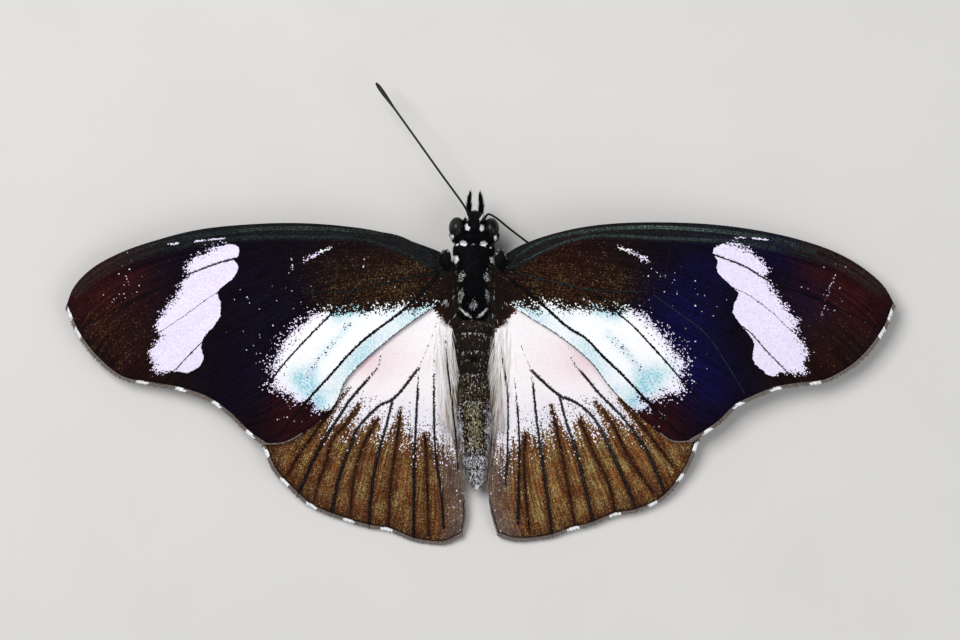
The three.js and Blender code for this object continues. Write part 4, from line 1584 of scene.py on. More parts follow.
# Outlines of the forewing's white band and of its large white patch
BAND: dict[Side, Points] = {
    Side.LEFT: [(24.35, 7.05), (23.75, 6.85), (23.55, 6.45), (23.65, 5.85), (24.15, 5.45), (23.75, 5.05),
        (23.65, 4.65), (23.85, 4.15), (24.25, 3.55), (24.95, 3.05), (25.55, 2.55), (25.75, 2.15), (25.65, 1.75),
        (25.45, 1.15), (25.45, -0.15), (26.25, -1.35), (26.85, -1.85), (27.25, -2.45), (27.45, -3.25), (27.15, -4.35),
        (27.55, -5.15), (28.15, -5.55), (28.85, -5.85), (30.35, -5.65), (31.05, -5.9), (32.35, -5.55), (32.25, -4.95),
        (32.55, -4.25), (32.55, -3.55), (31.95, -2.65), (31.55, -1.95), (31.95, -1.35), (31.75, -0.65), (31.15, 0.25),
        (30.75, 0.95), (30.05, 1.65), (29.65, 2.45), (29.15, 3.25), (28.75, 3.95), (28.95, 4.55), (28.55, 5.25),
        (28.05, 5.65), (27.25, 6.15), (26.15, 6.75), (25.05, 7.0)],
    Side.RIGHT: [(24.95, 7.1), (24.25, 6.95), (23.75, 6.65), (23.65, 6.15), (24.15, 5.35), (24.05, 4.65),
        (24.25, 4.05), (24.95, 3.35), (25.75, 2.65), (26.25, 2.15), (26.05, 1.55), (25.75, 0.95), (25.65, 0.25),
        (25.95, -0.35), (26.65, -1.25), (27.35, -2.05), (27.85, -2.85), (27.65, -4.35), (27.95, -4.95),
        (28.65, -5.55), (29.35, -6.15), (29.95, -6.15), (30.45, -5.75), (32.45, -5.9), (33.05, -5.65), (32.95, -4.85),
        (33.25, -4.05), (33.05, -3.35), (32.15, -2.05), (31.85, -1.45), (32.15, -0.75), (31.45, -0.05), (30.65, 1.15),
        (29.95, 2.15), (29.25, 3.15), (28.85, 3.75), (29.25, 4.35), (28.95, 4.85), (27.95, 5.85), (27.45, 6.45),
        (26.65, 6.85), (25.95, 7.05)],
}
PATCH: dict[Side, Points] = {
    Side.LEFT: [(4.55, 1.25), (7.05, 0.95), (9.05, 0.75), (10.55, 0.55), (11.75, 0.85), (12.55, 1.05), (14.05, 0.55),
        (16.05, -0.05), (17.55, -1.05), (18.75, -2.25), (19.55, -3.55), (20.05, -4.55), (20.15, -6.35),
        (20.45, -7.25), (19.35, -7.55), (18.55, -8.05), (17.55, -8.75), (16.35, -8.65), (16.05, -9.65),
        (15.35, -9.45), (14.0, -9.6), (12.6, -8.0), (10.6, -5.5), (7.0, -2.6), (3.2, 0.6)],
    Side.RIGHT: [(4.45, 1.25), (5.95, 0.95), (6.95, 1.15), (9.95, 0.65), (12.45, 1.15), (14.95, 0.65), (15.95, 0.25),
        (17.25, -0.55), (18.45, -1.85), (19.25, -2.85), (19.95, -3.75), (20.75, -4.75), (20.45, -6.35),
        (20.85, -7.05), (20.45, -7.75), (18.95, -8.05), (17.95, -8.55), (16.45, -8.25), (17.25, -9.05),
        (16.45, -9.65), (15.45, -9.35), (14.0, -9.6), (12.6, -8.0), (10.6, -5.5), (7.0, -2.6), (3.2, 0.6)],
}

# Centre line of the white streak in the forewing's cell, and of the small dashes near the front edge
CELL_STREAK: dict[Side, Points] = {
    Side.LEFT: [(14.2, 6.72), (15.4, 6.25), (16.9, 5.4)],
    Side.RIGHT: [(14.1, 6.72), (15.6, 6.15), (17.1, 5.45)],
}
COSTAL_DASHES: dict[Side, list[Points]] = {
    Side.LEFT: [[(29.7, 7.15), (30.7, 7.05)], [(25.0, 7.55), (26.6, 7.45)], [(27.0, 7.4), (28.0, 7.35)]],
    Side.RIGHT: [[(25.9, 7.7), (27.0, 7.65)], [(27.6, 7.6), (29.2, 7.45)]],
}
# Dark dust across the white patch, lines of white flecks, and blue-green spots
PATCH_DUSTING: dict[Side, Points] = {
    Side.LEFT: [(12.6, -1.0), (13.4, -2.0), (14.9, -3.6), (16.2, -5.2), (16.9, -6.3)],
    Side.RIGHT: [(13.2, -2.0), (14.9, -3.7), (16.4, -5.4)],
}
FLECK_LINES: dict[Side, list[Points]] = {
    Side.LEFT: [[(34.6, 3.8), (35.6, 2.2), (36.3, 1.1)], [(18.4, 6.1), (18.2, 3.8)], [(11.1, 5.7), (11.2, 4.0)]],
    Side.RIGHT: [[(36.1, 4.3), (35.0, 1.6), (34.5, -0.8)], [(17.6, 4.6), (18.9, 3.6)]],
}
CYAN_SPOTS: dict[Side, Spots] = {
    Side.LEFT: [(11.1, 0.8, 0.8, 0.7), (12.4, 0.55, 0.9, 1.0), (13.7, 0.0, 0.8, 0.9), (8.6, 0.2, 1.2, 0.3),
        (16.6, -7.3, 1.3, 1.0), (17.6, -6.3, 1.0, 0.75), (15.6, -8.9, 0.9, 1.0), (16.2, -5.4, 0.7, 0.5),
        (15.0, -4.0, 0.6, 0.35), (14.0, -7.6, 1.0, 0.5)],
    Side.RIGHT: [(11.6, 0.8, 0.8, 0.6), (12.8, 0.55, 0.9, 1.0), (14.1, 0.2, 0.8, 0.9), (8.8, 0.2, 1.2, 0.3),
        (17.8, -6.3, 1.3, 1.0), (16.6, -7.4, 1.2, 0.9), (15.6, -8.9, 0.9, 1.0), (16.2, -5.6, 0.7, 0.5),
        (19.6, -5.4, 1.0, 0.35), (14.0, -7.6, 1.0, 0.5)],
}

# The margin's white dashes
DASHES: dict[tuple[Side, Kind], Points] = {
    (Side.LEFT, Kind.FOREWING): [(40.9, -0.3), (39.95, -2.05), (33.6, -7.05), (29.7, -7.65), (26.1, -9.15),
        (22.8, -12.1)],
    (Side.LEFT, Kind.HINDWING): [(21.15, -14.0), (19.2, -16.9), (16.6, -19.45), (12.8, -20.9), (8.95, -21.85)],
    (Side.RIGHT, Kind.FOREWING): [(41.75, -0.35), (40.9, -2.05), (34.2, -6.95), (30.25, -7.65), (26.5, -9.2),
        (23.4, -11.8)],
    (Side.RIGHT, Kind.HINDWING): [(22.15, -13.35), (20.4, -16.3), (17.8, -18.95), (14.1, -20.35), (9.9, -21.65)],
}


FORE_FLECKS: Spots = [(18.5, 2.6, 2.4, 0.35), (21.5, -3.0, 3.0, 0.4), (18.0, -9.6, 2.4, 0.5), (35.0, 3.5, 3.0, 0.3),
                      (24.0, 1.5, 2.5, 0.3), (9.0, 1.6, 3.0, 0.15)]
# Painted blue sheen of the forewing, where its structural blue caught the light: out, ahead, radius and strength
FORE_BLUE_SHEEN: Spots = [(20.5, 0.3, 3.2, 1.0), (22.0, -4.5, 3.2, 0.75), (23.5, -7.8, 3.0, 0.6), (23.2, 4.6, 3.2, 0.5),
                    (29.5, 6.0, 2.6, 0.45), (33.0, 1.0, 3.0, 0.3)]
FORE_WARM: Spots = [(5.5, 4.6, 3.6, 0.95), (10.5, 4.8, 4.0, 0.55), (15.0, 5.0, 3.0, 0.3), (12.5, 1.9, 3.0, 0.95),
                    (6.0, 2.2, 3.0, 0.9), (36.5, -2.5, 3.6, 0.9), (31.5, -6.4, 3.0, 0.7), (33.0, 0.0, 3.0, 0.4)]
FORE_DEEP: Spots = [(36.5, 3.6, 4.0, 0.8), (18.0, -10.4, 3.0, 0.85), (39.0, 0.5, 2.4, 0.5), (34.5, -4.5, 3.0, 0.35)]
FORE_DUST: Spots = [(6.0, 4.3, 2.2, 0.2), (10.5, 3.8, 3.0, 0.05), (14.0, 3.4, 3.0, 0.04), (9.0, 1.8, 2.2, 0.2),
                    (13.6, 1.6, 2.0, 0.12)]
HIND_ROSE: Spots = [(10.9, -4.9, 1.7, 0.85), (9.6, -3.6, 1.8, 0.4), (7.5, -5.0, 2.6, 0.35)]
HIND_CYAN: Spots = [(6.8, -11.0, 1.8, 0.35), (12.6, -9.6, 1.6, 0.3)]
HIND_WARM: Spots = [(17.0, -13.5, 3.6, 0.7), (8.5, -19.0, 3.0, 0.5)]

# How far back the hindwing is white, by how far out
HIND_WHITE_BORDER = ([0, 2.5, 4.7, 7.2, 9.0, 11.5, 14.0, 15.5, 18],
                     [-14.2, -13.2, -12.3, -11.5, -11.2, -10.6, -10.2, -10.1, -9.6])


@dataclass(frozen=True)
class SideTints:
    """How strong each tint is on one side: of the forewing, then of the hindwing."""

    inner_strip: float
    patch_cyan: float
    # blue: how strong the painted blue sheen is
    blue: float
    root_deep: float
    tip_dust: float
    # shine: how strong the painted glint on the forewing's front veins is
    shine: float
    hind_warm: float
    hind_dust: float


# The right forewing takes the painted blue sheen and the painted glint far more strongly than the left, where the light
# caught them
TINTS = {Side.LEFT: SideTints(0.55, 0.88, 0.12, 0.1, 0.1, 0.4, 1.0, 0.52),
         Side.RIGHT: SideTints(0.4, 1.05, 1.0, 0.3, 0.02, 1.0, 0.6, 0.72)}

FRINGE = StrandStyle(0.95, 0.05, 0.02, 3, 0.35, 0.03, 0.07, spacing=0.04)
INNER_HAIR = StrandStyle(2.5, 0.028, 0.02, 41, 0.5, 0.02, 0.06, per_square_mm=15)
ROOT_HAIR = StrandStyle(0.5, 0.026, 0.15, 51, 0.7, 0.12, 0.25, per_square_mm=90)
HAIR_BED_RISE = 0.05
ROOT_HAIR_START = {Side.LEFT: 1.7, Side.RIGHT: 1.45}
ROOT_HAIR_SPECKS = ((3.3, 3.8), (4.0, 1.5), (3.1, 1.3))
NO_LINE = -9.0


def sheet_height(side: Side, kind: Kind, places: Array) -> Array:
    """Gives the middle height of a wing over the surface that the insect stands on.

    Args:
        side: which side of the insect.
        kind: which wing of that side.
        places: out and ahead of each place.

    Returns:
        One height for each place.
    """
    out, behind = places[:, 0], np.maximum(0, -places[:, 1])
    height = ROOT_HEIGHT + kind.value
    height = height - TIP_FALL[side] * (np.maximum(out, 0) / WING_REACH) ** DROOP_POWER
    height = height - REAR_FALL * (behind / REAR_REACH) ** DROOP_POWER
    if kind is Kind.HINDWING:
        along = np.sin(math.pi * limited(behind / INNER_FOLD_LENGTH))
        height = height - INNER_FOLD * bell(out / INNER_FOLD_WIDTH - 1) * along
    return height


@dataclass
class Wing:
    """One wing: its scaled membrane, its veins, the fringe of its margin and its hair."""

    side: Side
    kind: Kind
    trees: Trees
    rows: int = 225
    columns: int = 215
    root_thickness: float = 0.13
    margin_thickness: float = 0.08
    sag_between_veins: float = 0.13
    sag_width: float = 1.3
    membrane_share: float = 0.988
    fold_depth: float = 0.1
    fold_width: float = 0.22
    vein_places: int = 48
    fold_places: int = 30
    places: Array = field(init=False)
    spread: Array = field(init=False)
    edge: dict[str, Array] = field(init=False)
    veins: list[Array] = field(init=False)
    folds: list[Array] = field(init=False)

    def __post_init__(self) -> None:
        """Lays out the wing's grid of places inside its four edges."""
        outline = WING_OUTLINES[self.side, self.kind]
        front = smooth_through(outline["front"], self.rows + 1)
        inner = smooth_through(outline["inner"], self.rows + 1)
        shown = np.linspace(0, self.membrane_share * self.rows, self.rows + 1)
        front, inner = (np.column_stack([np.interp(shown, np.arange(self.rows + 1), edge[:, k]) for k in range(2)])
                        [:, None] for edge in (front, inner))
        outer = smooth_through(outline["outer"], self.columns + 1)[None]
        down = np.linspace(0, self.membrane_share, self.rows + 1)[:, None, None]
        across = np.linspace(0, 1, self.columns + 1)[None, :, None]
        root = front[:1] + (inner[:1] - front[:1]) * across
        corners = (1 - down) * root + down * (outer[:, :1] + (outer[:, -1:] - outer[:, :1]) * across)
        grid = (1 - across) * front + across * inner + (1 - down) * root + down * outer - corners
        self.places = grid.reshape(-1, 2)
        self.spread = np.stack(np.broadcast_arrays(down[..., 0], across[..., 0]), -1).reshape(-1, 2)
        self.edge = {"outer": outer[0], "front": front[:, 0], "inner": inner[:, 0]}
        self.veins = [smooth_through(vein.route, self.vein_places) for vein in VEINS[self.side, self.kind]]
        folds = [] if self.fore else HINDWING_FOLDS[self.side]
        self.folds = [smooth_through(fold, self.fold_places) for fold in folds]

    @property
    def fore(self) -> bool:
        """Tells whether this is a forewing."""
        return self.kind is Kind.FOREWING

    @property
    def slot(self) -> str:
        """The wing's kind in lower case, such as forewing, which begins its name."""
        return self.kind.name.lower()

    @property
    def name(self) -> str:
        """The wing's node name, such as forewing_left."""
        return f"{self.slot}_{self.side.label}"

    def vein_distance(self, places: Array) -> Array:
        """Measures how far places lie from the nearest vein."""
        return distance_to_nearest(places, self.veins)

    def height(self, places: Array) -> Array:
        """Gives the membrane's height, which sags between the veins and in the folds.

        Args:
            places: out and ahead of each place.

        Returns:
            One height for each place.
        """
        sag = 1 - bell(self.vein_distance(places), self.sag_width)
        inside = limited(distance_to_nearest(places, list(self.edge.values())) / 2)
        height = sheet_height(self.side, self.kind, places) - self.sag_between_veins * sag * inside
        for fold in self.folds:
            height = height - self.fold_depth * bell(distance_to_path(places, fold), self.fold_width) * inside
        return height

    def on_side(self, places: Array, heights: Array) -> Array:
        """Turns out, ahead and height into x, y and z in the object's frame."""
        return np.column_stack([self.side.value * places[:, 0] + SPAN_CENTRING, places[:, 1], heights])

    def comb(self, way: Array) -> Array:
        """Turns ways out and ahead into the unit directions that strands lie along."""
        way = way / np.maximum(np.linalg.norm(way, axis=1), TINY)[:, None]
        return np.column_stack([self.side.value * way[:, 0], way[:, 1], np.zeros(len(way))])

    def covered(self, number: int) -> Array:
        """Tells how much of a vein lies under white scales along its route."""
        route, under = self.veins[number], VEINS[self.side, self.kind][number].pale
        return limited(1.2 - run_along(route) / under) * 0.9 if under else np.zeros(len(route))

    def dash_depth(self, places: Array, radius: float) -> Array:
        """Tells how deep places lie inside the margin's white dashes."""
        dashes = DASHES[self.side, self.kind]
        return radius - np.min([np.linalg.norm(places - dash, axis=1) for dash in dashes], axis=0)

    def shared_masks(self) -> Masks:
        """Works out the values that both kinds of wing have.

        Returns:
            The named values.
        """
        p = self.places
        line = np.full(len(p), NO_LINE)
        thick = 0.08 + 0.08 * limited(1 - p[:, 0] / 9) if self.fore else 0.11
        for number, (vein, route) in enumerate(zip(VEINS[self.side, self.kind], self.veins)):
            closest = np.argmin(np.linalg.norm(p[:, None] - route[None, ::3], axis=2), axis=1)
            hidden = self.covered(number)[::3][closest]
            line = np.maximum(line, (thick * vein.girth - distance_to_path(p, route)) / 0.11 - 1.3 * hidden)
        corner = self.edge["inner"]
        corner = corner[corner[:, 1] < (-11.9 if self.fore else -18.9)]
        rim = np.minimum(distance_to_path(p, self.edge["outer"]), distance_to_path(p, corner) + 0.25)
        dash = np.maximum(-1.0, self.dash_depth(p, 0.6))
        return {"ray": self.spread[:, 1] * 95, "reach": self.spread[:, 0] * 4.5, "rim": rim, "dash": dash, "line": line}

    def forewing_masks(self) -> Masks:
        """Works out where the forewing is dark, blue, white and tinted.

        Returns:
            The named values.
        """
        p, tint = self.places, TINTS[self.side]
        out, ahead = p.T
        tipward = limited((out - 27.8 + 0.45 * (ahead + 2)) / 2.5)
        band = depth_inside(p, BAND[self.side]) / (0.07 + 0.5 * tipward)
        patch = depth_inside(p, smooth_through([*PATCH[self.side], PATCH[self.side][0]], 160))
        patch = patch / (0.9 + 0.4 * limited((out - 15) / 4) - 0.3 * limited((-ahead - 6) / 2))
        strip = limited((1.55 - distance_to_path(p, self.edge["inner"])) / 0.3)
        cyan = np.maximum(soft_spots(p, CYAN_SPOTS[self.side]), strip * (tint.inner_strip + 0.2 * np.cos(out * 1.1)))
        dusting = distance_to_path(p, PATCH_DUSTING[self.side])
        patch = np.minimum(patch, 0.47 + (dusting / 0.5) ** 2) - tint.patch_cyan * cyan * (ahead > -1.5)
        cyan = np.maximum(cyan, 0.4 * bell(dusting, 0.5))
        streak = 1 - distance_to_path(p, CELL_STREAK[self.side]) / (0.08 + 0.04 * np.clip(out - 14, 0, 3))
        dashes = 1 - distance_to_nearest(p, COSTAL_DASHES[self.side]) / 0.075
        fleck_line = bell(distance_to_nearest(p, FLECK_LINES[self.side]), 0.07)
        # Painted highlight along the first two front veins, stronger on the right wing
        first, second = (bell(distance_to_path(p, self.veins[n]), width) for n, width in ((0, 0.11), (1, 0.09)))
        below = limited((np.interp(out, *self.veins[1].T) - 0.1 - ahead) / 0.4)
        lit = first * (0.15 + 0.8 * bell(out - 19, 9)) + 0.4 * second * (out < 30)
        return {
            "white": np.maximum.reduce([band, patch, 0.5 * streak - 0.17, 0.8 * dashes]),
            "streaky": np.where(band > patch, 0.6 + 2.2 * tipward, 0.9),
            "fleck": soft_spots(p, FORE_FLECKS) + fleck_line * 9,
            "ink": np.where(patch > -1.0, 1.0, np.where(band > -8, 0.9, np.where(out < 13, 0.85, 0.55))),
            "violet": np.maximum(limited(band + 1.0) * (0.3 + 0.45 * tipward),
                                 limited(0.9 - patch) * (out > 15.5) * 0.8),
            "rose": np.zeros(len(p)),
            "cyan": cyan * (band < -4),
            "warm": soft_spots(p, FORE_WARM) * below,
            "deep": soft_spots(p, [*FORE_DEEP, (9.5, 5.5, 4.0, tint.root_deep)]),
            # painted blue sheen, strong on the right forewing where the light caught it
            "blue": soft_spots(p, [(x, y, radius, tint.blue * strength) for x, y, radius, strength in FORE_BLUE_SHEEN]),
            "shine": (1 - below) * 0.035 + lit * tint.shine,
            "dust": below * soft_spots(p, [*FORE_DUST, (37.0, -2.5, 3.5, tint.tip_dust)]),
        }

    def hindwing_masks(self) -> Masks:
        """Works out where the hindwing is white, brown and dark.

        Returns:
            The named values.
        """
        p, tint = self.places, TINTS[self.side]
        out, ahead = p.T
        folds, veins = distance_to_nearest(p, self.folds), self.vein_distance(p)
        white = (ahead - np.interp(out, *HIND_WHITE_BORDER)) / 3.1 + 0.4 * bell(veins, 0.35) - 1.1 * bell(folds, 0.3)
        margin = distance_to_path(p, self.edge["outer"])
        inner = limited(1 - distance_to_path(p, self.edge["inner"]) / 2.8)
        haze = limited((-ahead - 11.5) / 3) * inner
        rear = limited((-ahead - 8) / 3)
        dark = np.maximum.reduce([bell(folds, 0.17) * 1.2, bell(veins, 0.2) * 0.5, limited(1.1 - margin / 1.6) * 0.85,
                                  haze * 0.75, np.full(len(p), 0.15)])
        return {
            "white": np.minimum(white, (out - 3.7 - ahead) / 0.5),
            "streaky": np.full(len(p), 1.5),
            "fleck": haze * 0.8,
            "ink": np.full(len(p), 0.92),
            "violet": limited((-ahead - 7) / 3) * 0.6,
            "rose": 0.12 * limited((ahead + 12) / 3) + 0.75 * soft_spots(p, HIND_ROSE),
            "cyan": soft_spots(p, HIND_CYAN),
            "warm": limited(soft_spots(p, HIND_WARM) * tint.hind_warm),
            "deep": dark * rear + limited(ahead - out + 4.2),
            "blue": np.zeros(len(p)),
            "shine": haze * 0.5,
            # shine here lays the lilac-grey dust of the inner rear in the glint colour
            "dust": rear * tint.hind_dust * np.clip(margin / 2.2, 0.25, 1)
            * np.clip((np.minimum(folds, veins) - 0.1) / 0.5, 0.05, 1) * (1 - 0.7 * haze),
        }

    def membrane(self, material: Material) -> Object:
        """Builds the wing's thin closed sheet with its markings as named values.

        Args:
            material: what it is made of.

        Returns:
            The sheet.
        """
        heights = self.height(self.places)
        half = (self.root_thickness + (self.margin_thickness - self.root_thickness) * self.spread[:, 0]) / 2
        places = np.vstack([self.on_side(self.places, heights + half), self.on_side(self.places, heights - half)])
        masks = self.shared_masks() | (self.forewing_masks() if self.fore else self.hindwing_masks())
        if self.fore:
            ridge = 1.2 - distance_to_path(self.places, self.edge["inner"]) / 0.07
            masks["line"] = np.maximum(masks["line"], np.where(self.places[:, 0] > 4.5, ridge, NO_LINE))
        masks = {key: np.tile(value, 2) for key, value in masks.items()}
        count, wide = len(self.places), self.columns + 1
        masks["under"] = np.repeat([0.0, 1.0], count)
        top = grid_faces(self.rows, self.columns)
        faces = top + [(count + a, count + d, count + c, count + b) for a, b, c, d in top]
        far = self.rows * wide
        faces += [(c, count + c, count + c + 1, c + 1) for c in range(self.columns)]
        faces += [(far + c, far + c + 1, count + far + c + 1, count + far + c) for c in range(self.columns)]
        faces += [(r, r + wide, count + r + wide, count + r) for r in range(0, far, wide)]
        faces += [(r, count + r, count + r + wide, r + wide) for r in range(self.columns, far + self.columns, wide)]
        piece = make_mesh(f"{self.name}_membrane", places, faces_outward(places, faces), material, masks)
        return seat(piece, self.slot, self.name)

    def vein_tubes(self, material: Material) -> Object:
        """Builds the raised veins, thick at the root and fine at the margin.

        Args:
            material: what it is made of.

        Returns:
            The veins.
        """
        paths, girths, tints, pales = [], [], [], []
        reach, thinning = (38, 0.045) if self.fore else (23, 0.03)
        count = np.arange(self.vein_places)
        taper = np.sqrt(np.clip(np.minimum(count, count[::-1] + 1.0) / 3, 0.1, 1))
        for number, (vein, route) in enumerate(zip(VEINS[self.side, self.kind], self.veins)):
            paths.append(self.on_side(route, self.height(route) + 0.02))
            outward = limited(np.linalg.norm(route, axis=1) / reach)
            girths.append((0.085 - thinning * outward) * (0.45 + 0.55 * vein.girth) * taper)
            # Painted bluish glint: on the hindwing only the rear parts of the veins take it
            tint = vein.tint if self.fore else (0.1 + 0.8 * vein.tint) * limited((-route[:, 1] - 8.5) / 3)
            lit = depth_inside(route, BAND[self.side]) > 0.1 if vein.tint == 1.0 else 1.0
            tints.append(lit * tint * (0.8 - 0.5 * outward))
            pales.append(self.covered(number))
        piece = self.trees.tubes(f"{self.name}_veins", paths, girths, material, 6, {"tint": tints, "pale": pales})
        return seat(piece, self.slot)

    def fringe(self, material: Material) -> Object:
        """Builds the row of long scales along the margin, white at each dash.

        Args:
            material: what it is made of.

        Returns:
            The fringe.
        """
        margin = self.edge["outer"]
        inside = self.places.reshape(self.rows + 1, self.columns + 1, 2)[-1]
        way = margin - inside
        base = inside + 0.1 * (inside - margin)
        masks = {"comb": self.comb(way), "growth": np.linalg.norm(way, axis=1) * 1.1,
                 "spot": np.where(self.dash_depth(margin, 0.62) > 0, 0.1, -0.3)}
        path = make_mesh("margin", self.on_side(base, self.height(base)), [], None, masks)
        piece = FRINGE.grow_on(path, f"{self.name}_fringe", self.trees.fringe, material)
        bpy.data.objects.remove(path)
        return seat(piece, self.slot)

    def strip_of_hair(self, name: str, style: StrandStyle, material: Material,
                      grid: Array, root: tuple[float, float], masks: Masks) -> Object:
        """Grows hair from a bare strip over the wing.

        Args:
            name: the piece's name.
            style: the kind of hair.
            material: the hairs' material.
            grid: out and ahead of the strip's places, in rows that go rearwards, each further out.
            root: the place that the hairs fan out from.
            masks: the named values.

        Returns:
            The hairs as one mesh.
        """
        rows, count = grid.shape[:2]
        p = grid.reshape(-1, 2)
        faces = grid_faces(rows - 1, count - 1)
        if self.side is Side.RIGHT:
            faces = [f[::-1] for f in faces]
        values = {key: np.broadcast_to(value, (rows, count)).ravel() for key, value in masks.items()}
        places = self.on_side(p, np.maximum(self.height(p), 0.3) + HAIR_BED_RISE)
        bed = make_mesh("hair_bed", places, faces, None, values | {"comb": self.comb(p - root)})
        piece = style.grow_on(bed, name, self.trees.coat, material)
        bpy.data.objects.remove(bed)
        return seat(piece, self.slot)

    def inner_hair(self, material: Material) -> Object:
        """Grows the long hairs along the hindwing's inner edge, white ahead and brown behind.

        Args:
            material: what it is made of.

        Returns:
            The hair.
        """
        ahead = np.linspace(-0.6, -17.0, 90)
        edge = self.edge["inner"][np.argsort(self.edge["inner"][:, 1])]
        line = np.column_stack([np.interp(ahead, edge[:, 1], edge[:, 0]), ahead])
        away = np.linspace(-0.45, 2.2, 42)[:, None]
        grid = line[None] + away[..., None] * (1.0, 0.0)
        veins = self.vein_distance(grid.reshape(-1, 2)).reshape(grid.shape[:2])
        rear = limited((-ahead - 9.0) / 3.0)
        thinner = np.clip(1.2 - rear, 0.5, 1)
        streak = bell(away - 0.5, 0.6) * limited((-ahead - 1.5) / 4)
        cover = np.clip(1.25 - np.maximum(away, 0) / 1.4, 0.06, 1) * np.clip((veins - 0.05) / 0.1, 0.04, 1)
        masks = {"cover": cover * np.where(away < 0.3, 1.0 + rear, thinner) * (grid[..., 1] < grid[..., 0] - 3.5),
                 "growth": np.clip(0.4 - ahead / 4, 0.4, 1) * thinner, "brown": np.maximum(0.12 * streak, rear),
                 "gold": 0.22 * rear + 0.32 * streak, "frost": rear * 0.1, "spot": NO_SPOT}
        return self.strip_of_hair(f"{self.name}_hair", INNER_HAIR, material, grid, (3.4, 2.4), masks)

    def root_hair(self, material: Material) -> Object:
        """Grows the dark brown hair over the forewing's root beside the thorax.

        Args:
            material: what it is made of.

        Returns:
            The hair.
        """
        ahead = np.linspace(4.9, -0.8, 40)
        away = np.linspace(0.0, 2.0, 21)[:, None]
        grid = np.stack(np.broadcast_arrays(ROOT_HAIR_START[self.side] + away, ahead), -1)
        specks = np.min([np.hypot(grid[..., 0] - x, grid[..., 1] - y) for x, y in ROOT_HAIR_SPECKS], axis=0)
        masks = {"cover": limited(1.6 - away / 1.3) * limited((ahead - grid[..., 0] + 4.3) / 0.5),
                 "growth": np.clip(1.3 - 0.3 * away, 0.4, 1.3), "brown": 0.9, "gold": 0.05, "frost": 0.05,
                 "spot": -0.03 - 0.15 * specks}
        return self.strip_of_hair(f"{self.name}_root_hair", ROOT_HAIR, material, grid, (0.4, 6.5), masks)


# The two soft lights: place, width and power
LAMPS = {"key": ((-180, 160, 420), 260, 1.9), "fill": ((260, -120, 320), 300, 0.5)}


@dataclass
class Studio:
    """The floor, the soft lights and the camera straight above."""

    frame_width: float = 96.0
    lens: float = 150.0
    sensor: float = 36.0
    look_at: tuple[float, float, float] = (0.0, -0.55, 3.0)
    floor_size: float = 1200.0
    nearest_seen: float = 5.0
    surround: str = "#e8ecf2"
    surround_strength: float = 0.3

    def floor(self, material: Material) -> Object:
        """Lays the floor under the insect's feet.

        Args:
            material: what it is made of.

        Returns:
            The floor.
        """
        half = self.floor_size / 2
        corners = np.array([(-half, -half, 0), (half, -half, 0), (half, half, 0), (-half, half, 0)], float)
        floor = make_mesh("floor", corners, [(0, 1, 2, 3)], material)
        return floor

    def camera(self) -> Object:
        """Sets the camera above the insect, with the head at the picture's top.

        Returns:
            The camera.
        """
        data = bpy.data.cameras.new("camera")
        data.lens = self.lens
        data.sensor_width = self.sensor
        data.clip_start = self.nearest_seen * MM
        camera = bpy.data.objects.new("camera", data)
        distance = self.frame_width / self.sensor * self.lens
        x, y, z = self.look_at
        camera.location = Vector((x, y, z + distance)) * MM
        bpy.context.scene.collection.objects.link(camera)
        bpy.context.scene.camera = camera
        return camera

    def lights(self) -> None:
        """Hangs a large soft light to the upper left, a weaker one to the right, and a pale surround."""
        for name, (place, size, power) in LAMPS.items():
            data = bpy.data.lights.new(name, "AREA")
            data.size = size * MM
            data.energy = power
            lamp = bpy.data.objects.new(name, data)
            lamp.location = Vector(place) * MM
            lamp.rotation_euler = (-Vector(place)).to_track_quat("-Z", "Y").to_euler()
            bpy.context.scene.collection.objects.link(lamp)
        world = bpy.data.worlds.new("surround")
        world.use_nodes = True
        light = world.node_tree.nodes["Background"].inputs
        light["Color"].default_value = linear(self.surround)
        light["Strength"].default_value = self.surround_strength
        bpy.context.scene.world = world


def build_wings(trees: Trees, coat: NodeTree, strands: Material) -> None:
    """Builds the four wings with their veins, fringes and hair.

    Args:
        trees: the geometry trees.
        coat: the scale coat group.
        strands: the material of the body's hair, which reaches over the wing roots.
    """
    finishes = {
        Kind.FOREWING: WingFinish("forewing_scales", "#0e0912", "#1b110d", "#37120f", "#6b4428", "#7f6840"),
        Kind.HINDWING: WingFinish("hindwing_scales", "#553420", "#482416", "#150d0b", "#a06537", "#a8965c",
                                  # the hindwing's glint colour is the lilac-grey of its dusted inner rear
                                  glint="#8d868c", white="#f8f5f6", violet="#e6dcee"),
    }
    edge = scattered_edge_group()
    dressed = {kind: finish.material(coat, edge) for kind, finish in finishes.items()}
    vein = VeinFinish().material(coat)
    fringe = CoatFinish("fringe", dark="#7f736d", brown="#5f5550", strands=True).material(coat)
    pale_hair = CoatFinish("pale_hair", dark="#fffdf8", brown="#54453c", gold="#a88a66", frost="#b5b0ba",
                           shade=0.9, strands=True).material(coat)
    for side in Side:
        for kind in Kind:
            wing = Wing(side, kind, trees)
            wing.membrane(dressed[kind])
            wing.vein_tubes(vein)
            wing.fringe(fringe)
            if wing.fore:
                wing.root_hair(strands)
            else:
                wing.inner_hair(pale_hair)


HAIR_LENGTHS = {"thorax": 0.5, "abdomen": 0.45, "head": 0.5}
OTHER_HAIR_LENGTH = 0.3
TEGULA_SCALES = StrandStyle(0.3, 0.04, 0.15, 61, per_square_mm=110)


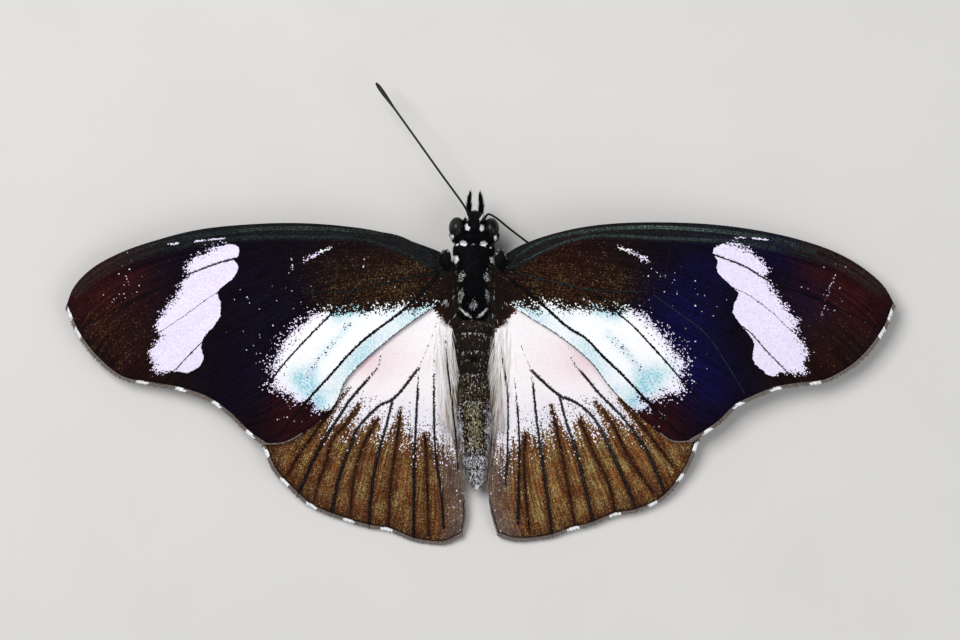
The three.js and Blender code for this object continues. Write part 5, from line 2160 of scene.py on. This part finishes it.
def build_body(trees: Trees, shell: Material, strands: Material) -> None:
    """Builds head, thorax and abdomen with their coats of scales and hairs.

    Args:
        trees: the geometry trees.
        shell: the material of the skin.
        strands: the material of scales and hairs.
    """
    parts = [BodyShell("head", HEAD_SECTIONS, 90, nodes=("head",)),
             BodyShell("thorax", THORAX_SECTIONS, 130, nodes=("thorax",)),
             BodyShell("abdomen", ABDOMEN_SECTIONS, 260, ring_edges=ABDOMEN_RING_EDGES, slot="abdomen_scales",
                       nodes=("abdomen",))]
    for side in Side:
        sections = [(y, side.value * (x - HEAD_ASIDE) - HEAD_ASIDE, z, w, w, w) for y, x, z, w in CHEEK_SECTIONS]
        parts.append(BodyShell(f"cheek_{side.label}", sections, 40, 48))
    parts.append(BodyShell("collar", COLLAR_SECTIONS, 60))
    for number, part in enumerate(parts):
        skin = part.build(shell)
        count, width = (54, 0.05) if part.name == "abdomen" else (90, 0.04)
        scales = StrandStyle(0.22, width, 0.3, 11 + number, per_square_mm=count)
        hairs = StrandStyle(HAIR_LENGTHS.get(part.name, OTHER_HAIR_LENGTH), 0.014, 0.5, 21 + number, 1.0,
                            per_square_mm=16)
        for title, style in (("scales", scales), ("hairs", hairs)):
            cover_with_strands(f"{part.name}_{title}", part.slot, skin, trees, strands, style)


def main() -> None:
    """Builds the butterfly and its studio, piece by piece."""
    logging.basicConfig(level=logging.INFO)
    bpy.context.scene.view_settings.view_transform = "Standard"
    studio = Studio()
    studio.camera()
    studio.lights()
    studio.floor(GroundFloor().material())
    trees = Trees()
    coat = scale_coat_group()
    shell = CoatFinish("body_skin").material(coat)
    strands = CoatFinish("body_strands", strands=True).material(coat)
    build_wings(trees, coat, strands)
    build_body(trees, shell, strands)
    horn = FurFinish("horn", "#0a0706", "#1d1410", 0.4).material()
    leg = FurFinish("leg", "#15100e", "#3a2b22", 0.5).material()
    eye = EyeFinish().material()
    limbs = Limbs(trees, horn, leg, shell)
    limbs.proboscis()
    for side in Side:
        Eye(side).build(eye)
        shield = Tegula(side).build(shell)
        cover_with_strands(f"tegula_{side.label}_scales", "body_scales", shield, trees, strands, TEGULA_SCALES)
        limbs.antenna(side)
        limbs.palp(side)
        limbs.legs(side)


if __name__ == "__main__":
    main()
